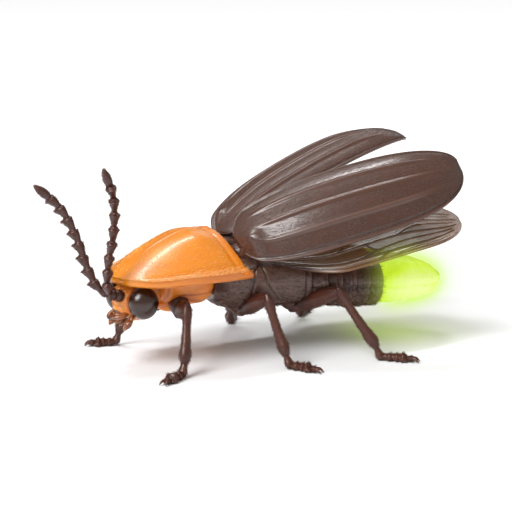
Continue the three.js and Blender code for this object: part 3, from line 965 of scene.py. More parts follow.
# Close shallow pits under thin wax: brown that greys where the light lies on it.
CASE_CUTICLE = Cuticle(
    "Grey-brown wing case cuticle, closely pitted",
    "case_brown",
    main="#48291D",
    deep="#301912",
    pale="#6C4E42",
    patch=1.3,
    mottle=0.45,
    pit=0.17,
    pit_depth=0.003,
    grain_depth=0.001,
    roughness=0.3,
    coat=0.3,
    coat_roughness=0.1,
)
# A film finely creased by its folds: smoky and half clear, so that its dark veins stand out.
WING_FILM = Membrane(
    "Smoky wing membrane with veins", "wing_membrane", main="#86603F", vein="#3F2419", opacity=0.66
)
# Light that comes from just under a clear skin: an even lime-yellow glow, palest low on the sides. Its pale
# middle and greener rim are painted highlight and painted shade on the real glow.
LAMP_CELLS = Lamp(
    "Glowing lantern cells under clear cuticle",
    "lantern_glow",
    heart="#F4FFAC",
    main="#D9FF2F",
    rim="#9DBF1A",
    dark="#4A4420",
    unlit="#4C5A14",
    power=0.66,
)
# Hair in the tone of what it grows on: a fine bloom over it, and a soft outline.
BROWN_HAIR = Hair("Fine brown hair", "limb_brown", main="#36150A", pale="#683822")
GOLD_HAIR = Hair("Fine golden hair", "shield_orange", main="#EFA94E", pale="#FFDDA0")
CASE_HAIR = Hair("Fine grey-brown hair", "case_brown", main="#4E3830", pale="#7A645A")


# Pieces


def add_piece(name: str, shape: Shape, finish: Finish, nodes: list[str]) -> None:
    """Adds one dressed piece to the scene.

    Args:
        name: The piece's name.
        shape: Its points and faces, in millimetres. Hairs have an unwrap, and their faces need no turning.
        finish: What it is made of.
        nodes: The solids that it stands for.
    """
    mesh = bpy.data.meshes.new(name)
    points = shape.points.copy()
    points[:, 2] = np.maximum(points[:, 2], 0.0)
    mesh.vertices.add(len(points))
    mesh.vertices.foreach_set("co", (points * MM).astype(np.float32).ravel())
    corners = np.concatenate([shape.quads.ravel(), shape.tris.ravel()]).astype(np.int32)
    first_tri = 4 * len(shape.quads)
    starts = np.concatenate([np.arange(len(shape.quads)) * 4, first_tri + np.arange(len(shape.tris)) * 3])
    mesh.loops.add(len(corners))
    mesh.loops.foreach_set("vertex_index", corners)
    mesh.polygons.add(len(starts))
    mesh.polygons.foreach_set("loop_start", starts.astype(np.int32))
    mesh.update(calc_edges=True)
    tones = mesh.attributes.new("tone", "FLOAT", "POINT")
    tones.data.foreach_set("value", shape.tone.astype(np.float32))
    if len(shape.unwrap):
        layer = mesh.uv_layers.new(name="OFBake")
        layer.uv.foreach_set("vector", shape.unwrap[corners].astype(np.float32).ravel())
    else:
        work = bmesh.new()
        work.from_mesh(mesh)
        bmesh.ops.recalc_face_normals(work, faces=work.faces)
        work.to_mesh(mesh)
        work.free()
    mesh.shade_smooth()
    mesh.materials.append(finish.material())
    piece = bpy.data.objects.new(name, mesh)
    bpy.context.scene.collection.objects.link(piece)
    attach(piece, "root")
    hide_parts(*nodes)
    low = np.round(points.min(axis=0), 2)
    high = np.round(points.max(axis=0), 2)
    log.info("%-24s %7d triangles  %s to %s", name, shape.count(), low, high)


# Forebody and head


@dataclass
class Shield:
    """The shield over head and forebody: a dome with turned-up margins, a fine keel and two faint windows, with
    painted shade darkening its margins and rear edge.
    """

    front: float = -5.5
    rear: float = 0.3
    half: float = 3.55
    rim: float = 4.75
    lip: float = 0.05
    dome: float = 2.2
    curl: float = 0.16
    thick: float = 0.34
    keel: float = 0.05
    gutter: float = 0.07
    bead: float = 0.03
    bulge: float = 0.05
    edge_round: float = 0.12
    coat: Coat = Coat(count=2600, long=0.17, thick=0.013, lift=0.2)
    seed: int = 11

    def surface(self, v: Array, w: Array) -> Array:
        """Places the upper face.

        Args:
            v: Shares of the way from the front lip to the rear edge.
            w: Places across, from -1 to 1.

        Returns:
            The points of the face.
        """
        along = v**1.5
        y = lerp(self.front, self.rear, along) + 0.3 * np.abs(w) ** 3 * along**6
        wide = self.half * (1 - (1 - along) ** 2.3) ** (1 / 2.1) + 0.06
        rise = (1 - (1 - along) ** 2) ** 1.05 * (1 - 0.1 * smoothstep(along, 0.7, 1.0))
        rolled = self.curl * np.abs(w) ** 8 * smoothstep(along, 0.15, 0.5)
        dome = self.dome * rise * (1 - np.abs(w) ** 2.1) ** 1.25
        return np.stack([wide * w, y, self.rim + self.lip * (1 - along) ** 1.5 + dome + rolled], axis=-1)

    def build(self) -> None:
        """Makes the shield and its hairs."""
        v, w = sheet_grid(110, 150)
        edge = np.abs(w)
        keel = self.keel * bell(w, 0.035) * smoothstep(v, 0.35, 0.6)
        gutter = self.gutter * bell(edge - 0.87, 0.05) * smoothstep(v, 0.2, 0.5)
        bead = self.bead * smoothstep(edge, 0.95, 1.0)
        rear_roll = -0.06 * bell(v - 0.955, 0.012) + 0.02 * smoothstep(v, 0.98, 1.0)
        bulges = self.bulge * bell(np.hypot((v - 0.78) / 0.12, (edge - 0.33) / 0.16), 1.0)
        window = bell(np.hypot((v - 0.5) / 0.1, (edge - 0.34) / 0.17), 1.0)
        tone = 0.45 * window - 0.3 * bell(w, 0.05) * smoothstep(v, 0.4, 0.7)
        # Painted shade: the margin round the gutter, and the rear edge in the dip of its roll, are darkened.
        tone -= 0.35 * smoothstep(edge, 0.86, 1.0) * smoothstep(v, 0.3, 0.7)
        tone -= 0.3 * smoothstep(v, 0.93, 1)
        net = Net(self.surface(v, w), tone=tone).placed(FRONT)
        plate = net.shell(self.thick, keel - gutter + bead + rear_roll + bulges, self.edge_round)
        add_piece("pronotum_plate", plate, SHIELD_CUTICLE, ["pronotum"])
        hairs = hairs_on([(self.coat, net)], self.seed, where=0.1 + smoothstep(edge, 0.8, 1.0))
        add_piece("pronotum_hairs", hairs, GOLD_HAIR, ["pronotum"])


@dataclass
class Forebody:
    """The body under the shield, with the hip sockets of the front legs and a keel between them."""

    front: float = -3.3
    rear: float = -0.05
    half: float = 1.75
    level: float = 4.3
    up: float = 1.9
    down: float = 1.55
    size: Profile = ((0, 0.5), (0.08, 0.68), (0.3, 0.86), (0.65, 1), (0.9, 0.94), (1, 0.8))
    inset: float = 0.97
    groove: float = 0.05
    hollow: float = 0.12
    keel: Ball = ((0, -1.9, 3.0), (0.6, 1.08, 0.53))

    def build(self) -> None:
        """Makes the side and lower plates and the neck's soft collar."""
        rows, sides = 70, 120
        share = np.linspace(0, 1, rows)
        size = through(*np.array(self.size).T, share) * self.inset
        y = lerp(self.front, self.rear, share)
        level = np.full(rows, self.level)
        points = section(y, level, self.half * size, self.up * size, self.down * size, 2.3, sides)
        turn = circle(sides)[None]
        share = share[:, None]
        low_side = np.minimum(np.abs(turn - 1.22 * np.pi), np.abs(turn - 1.78 * np.pi))
        suture = bell(low_side - 0.3 * share, 0.05) * smoothstep(share, 0.15, 0.3)
        rings = bell(share - 0.93, 0.02) + bell(share - 0.12, 0.025)
        hollow = bell(np.hypot(low_side / 0.4, (share - 0.42) / 0.2), 1.0)
        # Painted shade darkens the sunk hollow on each low side.
        net = Net(points, ring=True, tone=-0.7 * suture - 0.6 * rings - 0.5 * hollow)
        net = net.raised(-self.groove * (suture + rings) - self.hollow * hollow)
        plates = Shape.of_nets([net.placed(FRONT), globe(self.keel).placed(FRONT)])
        add_piece("prothorax_plates", plates, FACE_CUTICLE, ["prothorax"])


@dataclass
class Head:
    """The head: capsule, frons, muzzle, sockets, jaws and palps, after those of real fireflies.

    Eye, socket, jaw and palps are given for the left side. Each palp joint has its two ends and its outline.
    """

    body: Ball = ((0, -4.3, 3.42), (1.18, 1.15, 1.02))
    nod: float = 24.0
    eye: Ball = ((1.08, -4.45, 3.48), (0.72, 0.82, 0.86))
    mesh_splits: int = 6
    lens_splits: int = 4
    lens_height: float = 0.007
    socket: Ball = ((0.32, -5.2, 3.76), (0.27, 0.2, 0.27))
    muzzle: Ball = ((0, -5.02, 3.0), (0.6, 0.48, 0.4))
    muzzle_nod: float = 30.0
    lip: Ball = ((0, -5.38, 2.95), (0.36, 0.22, 0.12))
    lip_nod: float = 35.0
    neck: tuple[Point, Point] = ((0, -3.9, 3.75), (0, -2.75, 3.95))
    neck_outline: Profile = ((0, 0.74), (0.3, 0.7), (0.55, 0.75), (1, 0.72))
    jaw: Profile = ((0.36, -5.0, 2.95), (0.47, -5.4, 2.8), (0.3, -5.68, 2.71), (-0.1, -5.79, 2.66))
    jaw_outline: Profile = ((0, 0.18), (0.4, 0.145), (0.7, 0.1), (0.9, 0.055), (1, 0.015))
    jaw_cross: float = 0.035
    palps: tuple[tuple[Point, Point, Profile], ...] = (
        ((0.4, -4.66, 3.08), (0.58, -4.82, 2.8), ((0, 0.11), (0.6, 0.15), (1, 0.12))),
        ((0.56, -4.79, 2.82), (0.78, -5.02, 2.58), ((0, 0.1), (0.7, 0.16), (1, 0.12))),
        ((0.76, -4.97, 2.62), (0.72, -5.4, 2.14), ((0, 0.11), (0.35, 0.21), (0.7, 0.19), (1, 0.06))),
        ((0.16, -4.85, 2.74), (0.2, -5.05, 2.52), ((0, 0.1), (0.6, 0.13), (1, 0.1))),
        ((0.19, -5.02, 2.54), (0.24, -5.32, 2.3), ((0, 0.09), (0.45, 0.14), (1, 0.05))),
    )
    coat: Coat = Coat(count=1500, long=0.15, thick=0.016, lift=0.45, back=-1.0)
    muzzle_coat: Coat = Coat(count=220, long=0.13, thick=0.014, lift=0.5, back=-1.0)
    mouth_coat: Coat = Coat(count=30, long=0.12, thick=0.012, lift=0.4)
    seed: int = 21

    def capsule(self) -> Net:
        """Shapes the head capsule, with rims round eyes and sockets, a furrowed frons and a raised brow.
        Painted shade darkens the ring where eye meets capsule, the sockets and the furrow, and a painted
        highlight pales the brow.

        Returns:
            Its net, before the head is turned.
        """
        net = globe(self.body, self.nod, 150, 200)
        x, y, z = np.moveaxis(net.points, -1, 0)
        rim = np.zeros(x.shape)
        tone = np.zeros(x.shape)
        for side in Side:
            eye = np.linalg.norm((net.points - on_side(self.eye[0], side)) / self.eye[1], axis=-1)
            rim = rim + 0.05 * bell(eye - 1.08, 0.06)
            # Painted shade: a dark ring where the capsule meets the eye.
            tone = tone - 0.7 * bell(eye - 1.04, 0.06)
            socket = np.linalg.norm(net.points - on_side(self.socket[0], side), axis=-1)
            rim = rim + 0.06 * bell(socket - 0.3, 0.07) - 0.05 * bell(socket, 0.16)
            # Painted shade in the dent of each socket.
            tone = tone - 0.5 * bell(socket, 0.22)
        furrow = bell(x, 0.05) * smoothstep(-y, 4.6, 5.0) * smoothstep(z, 3.3, 3.6)
        brow = bell(np.hypot(x / 0.5, (z - 4.2) / 0.22), 1.0) * smoothstep(-y, 4.3, 4.8)
        # Painted shade in the furrow, and a painted highlight on the raised brow.
        return net.toned(tone - 0.5 * furrow + 0.15 * brow).raised(rim - 0.05 * furrow + 0.05 * brow)

    def build(self) -> None:
        """Makes the capsule, the mouth, both eyes and the face's hairs."""
        capsule = self.capsule().placed(FRONT)
        neck = limb(*self.neck, self.neck_outline, (0, 0, 1)).placed(FRONT)
        muzzle = globe(self.muzzle, self.muzzle_nod, 50, 60)
        cheek = bell(muzzle.points[..., 0], 0.4)
        # Painted highlight: the raised middle of the muzzle is paler.
        muzzle = muzzle.toned(0.2 * cheek).raised(0.02 * cheek).placed(FRONT)
        plates = [capsule, neck, muzzle]
        for side in Side:
            ring = globe((on_side(self.socket[0], side), self.socket[1]), 0, 30, 36)
            plates.append(ring.toned(0.3 * bell(ring.points[..., 1] + 5.3, 0.1)).placed(FRONT))
        add_piece("head_capsule", Shape.of_nets(plates), FACE_CUTICLE, ["head"])
        mouth = [net.placed(FRONT) for net in self.mouth()]
        add_piece("head_mouth", Shape.of_nets(mouth), MOUTH_CUTICLE, ["head"])
        skins = [(self.coat, capsule), (self.muzzle_coat, muzzle)] + [(self.mouth_coat, net) for net in mouth]
        add_piece("head_hairs", hairs_on(skins, self.seed, self.beside_eyes(capsule)), GOLD_HAIR, ["head"])
        for side in Side:
            add_piece(f"eye_{side.word}_lenses", self.compound_eye(side), EYE_LENS, [f"eye_{side.word}"])

    def beside_eyes(self, net: Net) -> Array:
        """Says where hairs grow on the capsule: everywhere but within the eyes.

        Args:
            net: The capsule, turned with the head.

        Returns:
            How densely they grow at each point, from 0 to 1.
        """
        share = np.ones(net.points.shape[:2])
        for side in Side:
            centre = FRONT.apply(on_side(self.eye[0], side))
            reach = np.linalg.norm((net.points - centre) / self.eye[1], axis=-1)
            share = share * smoothstep(reach, 1.05, 1.15)
        return share + 1e-6

    def mouth(self) -> list[Net]:
        """Shapes the lip with its middle notch, the two crossing jaws and the four palps.

        Returns:
            Their nets, before the head is turned.
        """
        lip = globe(self.lip, self.lip_nod, 40, 60)
        notch = bell(lip.points[..., 0], 0.07) * smoothstep(-lip.points[..., 1], 5.45, 5.55)
        # Painted shade darkens the sunk middle notch.
        lip = lip.toned(-0.6 * notch - 0.5 * smoothstep(-lip.points[..., 1], 5.5, 5.6))
        nets = [lip.raised(-0.06 * notch)]
        for side in Side:
            bend = on_side(self.jaw, side)
            bend[2:, 2] += self.jaw_cross * side.value
            jaw = swept(spline(bend, 40), self.jaw_outline, np.array([0, 0, 1]), 1.2)
            rows = len(jaw.points)
            nets.append(jaw.toned(0.3 - 1.3 * smoothstep(np.arange(rows) / rows, 0.45, 0.85)[:, None]))
            for a, b, outline in self.palps:
                palp = limb(on_side(a, side), on_side(b, side), outline, (side.value, 0, 0.4), 0.85)
                share = palp.shares()
                nets.append(palp.toned(-0.6 * bell(share, 0.15) + 0.4 * bell(share - 0.93, 0.08)))
        return nets

    def compound_eye(self, side: Side) -> Shape:
        """Makes one eye: an ellipsoid of domed lenses.

        A real lens is about 0.025 mm across. These are about 0.06 mm, so that they show.

        Args:
            side: Which eye it is.

        Returns:
            The eye in the frame of the whole animal.
        """
        ball = icosphere(self.mesh_splits)
        way = unit(ball.points)
        gap = nearest_gap(way, unit(icosphere(self.lens_splits).points))
        spacing = np.median(gap) * 1.5
        dome = self.lens_height * (1 - np.clip(gap / spacing, 0, 1.4) ** 2)
        radii = np.array(self.eye[1]) + dome[:, None] - 0.01
        return replace(ball, points=FRONT.apply(on_side(self.eye[0], side) + way * radii))


def icosphere(splits: int) -> Shape:
    """Makes a unit ball of even triangles.

    Args:
        splits: How many times each of its first twenty triangles is split in four.

    Returns:
        The ball.
    """
    work = bmesh.new()
    bmesh.ops.create_icosphere(work, subdivisions=splits + 1, radius=1.0)
    points = np.array([v.co[:] for v in work.verts])
    tris = np.array([[v.index for v in f.verts] for f in work.faces])
    work.free()
    return Shape(points, np.zeros((0, 4), int), tris, np.zeros(len(points)))


def nearest_gap(points: Array, marks: Array, block: int = 4000) -> Array:
    """Measures how far each point of a unit ball is from its nearest mark.

    Args:
        points: The points.
        marks: The marks on the same ball.
        block: How many points are measured at a time, which bounds the memory that it takes.

    Returns:
        The distance for each point.
    """
    found = []
    for start in range(0, len(points), block):
        closeness = points[start : start + block] @ marks.T
        found.append(np.sqrt(np.maximum(0.0, 2 - 2 * closeness.max(axis=1))))
    return np.concatenate(found)


@dataclass
class Feeler:
    """One feeler: a thick shaft, a small second joint and nine toothed joints, all hairy."""

    side: Side
    line: Profile
    joints: int = 11
    shaft: float = 0.75
    second: float = 0.34
    last: float = 0.95
    overlap: float = 0.1
    coat: Coat = Coat(count=200, long=0.13, thick=0.016, lift=0.4, stray=0.35)
    seed: int = 31
    seed_step: int = 20

    def outline(self, i: int) -> Profile:
        """Gives a joint's outline.

        Args:
            i: The joint's number from the head, from 0.

        Returns:
            Rows of a share, a radius and a shift towards the toothed side.
        """
        if i == 0:
            return ((0, 0.17), (0.12, 0.19), (0.3, 0.24), (0.8, 0.29), (1, 0.2))
        if i == 1:
            return ((0, 0.17), (0.6, 0.26), (1, 0.18))
        if i == self.joints - 1:
            return ((0, 0.15), (0.3, 0.27), (0.7, 0.24), (1, 0.1))
        return ((0, 0.14), (0.4, 0.22, 0.02), (0.78, 0.32, 0.08), (0.93, 0.33, 0.12), (1, 0.2, 0.06))

    def build(self) -> None:
        """Makes the joints and their hairs."""
        count = 900
        line = spline(on_side(self.line, self.side), count)
        total = np.linalg.norm(np.diff(line, axis=0), axis=1).sum()
        middle = (total - self.shaft - self.second - self.last) / (self.joints - 3)
        lengths = [self.shaft, self.second, *[middle] * (self.joints - 3), self.last]
        outward = unit(np.array([self.side.value, -0.5, 0.2]))
        travelled = 0.0
        nets = []
        for i, length in enumerate(lengths):
            toothed = i > 1
            start = max(0.0, travelled - self.overlap) / total
            travelled += length
            end = min(1.0, travelled / total)
            part = line[int(start * (count - 1)) : int(end * (count - 1)) + 1 : 3 if toothed else 2]
            net = swept(part, self.outline(i), outward, 0.78 if toothed else 1.0, sides=26, cap=0.45)
            share = net.shares()
            nets.append(net.toned(-0.6 * bell(share, 0.12) + 0.35 * bell(share - 1, 0.12)).placed(FRONT))
        name = f"antenna_{self.side.word}"
        add_piece(f"{name}_joints", Shape.of_nets(nets), LIMB_CUTICLE, [name])
        seed = self.seed + self.seed_step * self.side.value
        hairs = hairs_on([(self.coat, net) for net in nets], seed)
        add_piece(f"{name}_hairs", hairs, BROWN_HAIR, [name])


# Legs


@dataclass
class Leg:
    """One leg: hip, ring, thigh, shin with two spurs, five foot joints and two claws.

    Its places are given for the left side. Foot has the share and the radius of each foot joint, lobed is the
    number of the one with side lobes, from 0, and hairy has the numbers of hairs on thigh, shin and the five
    foot joints. Spur, lobe and claw say how far they stand aside of the leg's middle, and then how far ahead.
    """

    pair: Pair
    side: Side
    hip: Point
    root: Point
    knee: Point
    ankle: Point
    toe: Point
    sole: float = 0.2
    heel: float = 0.14
    hip_outline: Profile = ((-0.25, 0.38), (0.1, 0.54), (0.5, 0.5), (0.85, 0.37), (1.1, 0.22))
    ring_outline: Profile = ((-0.6, 0.2), (0.3, 0.3), (1, 0.24))
    thigh_outline: Profile = ((0.08, 0.32), (0.32, 0.45), (0.66, 0.42), (0.92, 0.3), (1.03, 0.2))
    shin_outline: Profile = (
        (-0.05, 0.17), (0.03, 0.25), (0.3, 0.22), (0.7, 0.25), (0.95, 0.3), (1.03, 0.22),
    )
    spur: tuple[float, float] = (0.17, 0.16)
    spur_drop: float = 0.34
    spur_outline: Profile = ((0, 0.05), (0.5, 0.035), (1, 0.01))
    foot: Profile = ((0.36, 0.24), (0.19, 0.25), (0.15, 0.26), (0.12, 0.33), (0.18, 0.17))
    overlap: float = 0.035
    lobed: int = 3
    lobe_root: float = 0.14
    lobe: tuple[float, float] = (0.2, 0.12)
    lobe_height: float = 0.12
    lobe_outline: Profile = ((0, 0.12), (0.6, 0.17), (1, 0.1))
    claw_root: tuple[float, float] = (0.06, -0.08)
    claw: tuple[float, float] = (0.2, 0.32)
    claw_height: float = 0.05
    claw_arch: float = 0.09
    claw_outline: Profile = ((0, 0.1), (0.3, 0.085), (0.7, 0.05), (1, 0.015))
    coat: Coat = Coat(count=0, long=0.15, thick=0.016, lift=0.42)
    hairy: tuple[int, ...] = (700, 800, 170, 170, 170, 170, 170)
    seed: int = 100
    seed_step: int = 10

    def build(self) -> None:
        """Makes the leg's joints and hairs."""
        places = (self.hip, self.root, self.knee, self.ankle, self.toe)
        hip, root, knee, ankle, toe = [on_side(place, self.side) for place in places]
        up = np.array([0.0, 0.0, 1.0])
        hip_joint = limb(hip, root, self.hip_outline, up)
        ring = limb(root, lerp(root, knee, 0.16), self.ring_outline, up, 0.85)
        thigh = limb(lerp(root, knee, 0.06), knee, self.thigh_outline, up, 0.72, bow=0.06)
        shin = limb(knee, ankle, self.shin_outline, toe - ankle, 0.88, bow=-0.05)
        ahead = unit((toe - ankle) * (1, 1, 0))
        aside = np.cross(ahead, up)
        spurs = []
        for way in (-1, 1):
            start = ankle + aside * way * self.spur[0]
            tip = start + ahead * self.spur[1] - up * self.spur_drop
            spurs.append(limb(start, tip, self.spur_outline, ahead))
        foot = self.foot_joints(ankle, toe, ahead, aside)
        place = FRONT if self.pair is Pair.FORE else REAR
        nets = []
        for net in [hip_joint, ring, thigh, shin, *spurs, *foot]:
            share = net.shares()
            ends = bell(share, 0.08) + bell(share - 1, 0.08)
            nets.append(net.toned(-0.7 * ends + 0.25 * bell(share - 0.5, 0.3)).placed(place))
        name = f"leg_{self.pair.value}_{self.side.word}"
        add_piece(f"{name}_joints", Shape.of_nets(nets), LIMB_CUTICLE, [name])
        _, _, thigh_skin, shin_skin, _, _, *foot_skins = nets
        coats = [replace(self.coat, count=count) for count in self.hairy]
        seed = self.seed + self.seed_step * self.side.value
        hairs = hairs_on(list(zip(coats, [thigh_skin, shin_skin, *foot_skins])), seed)
        add_piece(f"{name}_hairs", hairs, BROWN_HAIR, [name])

    def foot_joints(self, ankle: Array, toe: Array, ahead: Array, aside: Array) -> list[Net]:
        """Shapes the five foot joints and the claws.

        Args:
            ankle: Where the foot starts.
            toe: Where it ends, on the floor.
            ahead: The foot's direction over the floor.
            aside: The direction across it.

        Returns:
            The foot joints from the ankle, then the side lobes of one of them, then the claws.
        """
        heel = np.array([*lerp(ankle[:2], toe[:2], self.heel), self.sole + 0.02])
        end = np.array([toe[0], toe[1], self.sole])
        path = np.array([ankle, heel, end])
        joints = []
        lobes = []
        claws = []
        share = 0.0
        for i, (length, radius) in enumerate(self.foot):
            first = max(0.0, share - self.overlap)
            share += length
            line = along_path(path, np.linspace(first, min(1.0, share), 16))
            outline = ((0, radius * 0.6), (0.45, radius * 0.8), (0.85, radius * 1.02), (1, radius * 0.7))
            joints.append(swept(line, outline, aside, 0.86, sides=22, cap=0.5))
            if i == self.lobed:
                for way in (-1, 1):
                    start = line[5] + aside * way * self.lobe_root
                    stop = line[-1] + aside * way * self.lobe[0] + ahead * self.lobe[1]
                    stop[2] = self.lobe_height
                    lobes.append(limb(start, stop, self.lobe_outline, aside, 0.7))
        for way in (-1, 1):
            start = end + ahead * self.claw_root[1] + aside * way * self.claw_root[0]
            stop = end + ahead * self.claw[1] + aside * way * self.claw[0]
            stop[2] = self.claw_height
            bend = lerp(start, stop, 0.5) + np.array([0, 0, self.claw_arch])
            claw = spline(np.array([start, bend, stop]), 20)
            claws.append(swept(claw, self.claw_outline, aside, 1.0, sides=16))
        return joints + lobes + claws


# Body


@dataclass
class Thorax:
    """The middle and rear thorax: back plates between the wings, side plates with sutures, a broad breast.

    Plan has rows of a share of its length, its width and its height. Back, shoulder and wing root are given
    for the left side.
    """

    front: float = 0.12
    rear: float = 5.2
    half: float = 2.85
    top: float = 5.72
    drop: float = 0.5
    under: float = 2.42
    plan: Profile = (
        (0, 0.6, 0.72), (0.05, 0.7, 0.85), (0.16, 0.86, 0.95), (0.38, 0.96, 1), (0.7, 1, 1), (1, 0.97, 0.94),
    )
    breast: Ball = ((0, 3.9, 2.84), (1.5, 1.25, 0.62))
    back: Ball = ((0.75, 3.5, 5.42), (0.75, 1.3, 0.36))
    shoulder: Ball = ((1.95, 1.6, 5.05), (0.74, 0.84, 0.52))
    wing_root: Ball = ((1.1, 1.95, 5.5), (0.62, 0.78, 0.55))
    inset: float = 0.03
    groove: float = 0.06
    swell: float = 0.05
    coat: Coat = Coat(count=9500, long=0.16, thick=0.015, lift=0.3)
    plate_coat: Coat = Coat(count=500, long=0.18)
    seed: int = 51

    def box(self) -> Net:
        """Shapes the body of plates, with its sutures sunk and its membranes pale.

        Returns:
            Its net, before it is placed.
        """
        rows, sides = 160, 210
        share = np.linspace(0, 1, rows)
        steps, widths, heights = np.array(self.plan).T
        width = through(steps, widths, share)
        height = through(steps, heights, share)
        high = self.top - self.drop * share
        level = lerp(self.under, high, 0.55)
        up = (high - level) * height
        down = (level - self.under) * height
        points = section(lerp(self.front, self.rear, share), level, self.half * width, up, down, 2.6, sides)
        s = share[:, None]
        turn = circle(sides)[None]
        flank = np.abs(np.arctan2(np.sin(turn), np.abs(np.cos(turn))))
        below = np.sin(turn) < 0
        lines = bell(s - (0.36 + 0.06 * np.sin(turn)), 0.008)
        lines = lines + bell(s - 0.5 - 0.28 * np.where(below, flank, -0.2 * flank), 0.01) * (flank < 1.1)
        low_line = bell(flank * np.where(below, 1, -1) - 0.62 + 0.25 * (1 - s), 0.02)
        lines = lines + low_line * smoothstep(s, 0.36, 0.4)
        lines = lines + bell(np.abs(np.cos(turn)), 0.012) * smoothstep(s, 0.1, 0.3)
        lines = np.clip(lines + bell(s - 0.94, 0.012), 0, 1)
        swell = self.swell * np.sin(s * 9 + flank * 2.0) * np.sin(flank * 4.0)
        soft = bell(np.where(below, 9.0, flank - 0.45), 0.16) * smoothstep(s, 0.1, 0.25)
        net = Net(points, ring=True, tone=-0.9 * lines + 0.35 * soft)
        return net.raised(swell - self.groove * lines - self.inset)

    def build(self) -> None:
        """Makes the plates, the raised back and shoulders, the breast and the hairs."""
        nets = [self.box(), globe(self.breast, rows=60, sides=80)]
        for side in Side:
            for (centre, radii), paler in ((self.back, 0.2), (self.shoulder, 0.0), (self.wing_root, 0.0)):
                part = globe((on_side(centre, side), radii), rows=50, sides=60)
                nets.append(part.toned(paler * bell(part.points[..., 1] - centre[1], 0.8)))
        nets = [net.placed(REAR) for net in nets]
        add_piece("thorax_plates", Shape.of_nets(nets), BELLY_CUTICLE, ["thorax"])
        coats = [self.coat] + [self.plate_coat] * (len(nets) - 1)
        add_piece("thorax_hairs", hairs_on(list(zip(coats, nets)), self.seed), BROWN_HAIR, ["thorax"])


@dataclass
class Scutellum:
    """The small triangle between the roots of the wing cases."""

    front: float = 0.35
    rear: float = 2.0
    base: float = 0.72
    point: float = 0.12
    z: float = 6.06
    thick: float = 0.5
    edge_round: float = 0.06
    coat: Coat = Coat(count=350, long=0.16)
    seed: int = 61

    def build(self) -> None:
        """Makes the triangle and its hairs."""
        u, w = sheet_grid(40, 40)
        x = w * lerp(self.base, self.point, u**1.3)
        z = self.z - 0.12 * w * w - 0.2 * u * u
        edge = smoothstep(np.abs(w), 0.8, 1.0)
        points = np.stack([x, lerp(self.front, self.rear, u), z], axis=-1)
        # Painted light: the raised middle is paler and the sunk edges are darker.
        net = Net(points, tone=0.3 * bell(w, 0.3) - 0.5 * edge).placed(REAR)
        ridge = 0.05 * bell(w, 0.4) * np.sin(np.pi * u) - 0.03 * edge
        plate = net.shell(self.thick, ridge, self.edge_round)
        add_piece("scutellum_plate", plate, BELLY_CUTICLE, ["scutellum"])
        add_piece("scutellum_hairs", hairs_on([(self.coat, net)], self.seed), BROWN_HAIR, ["scutellum"])


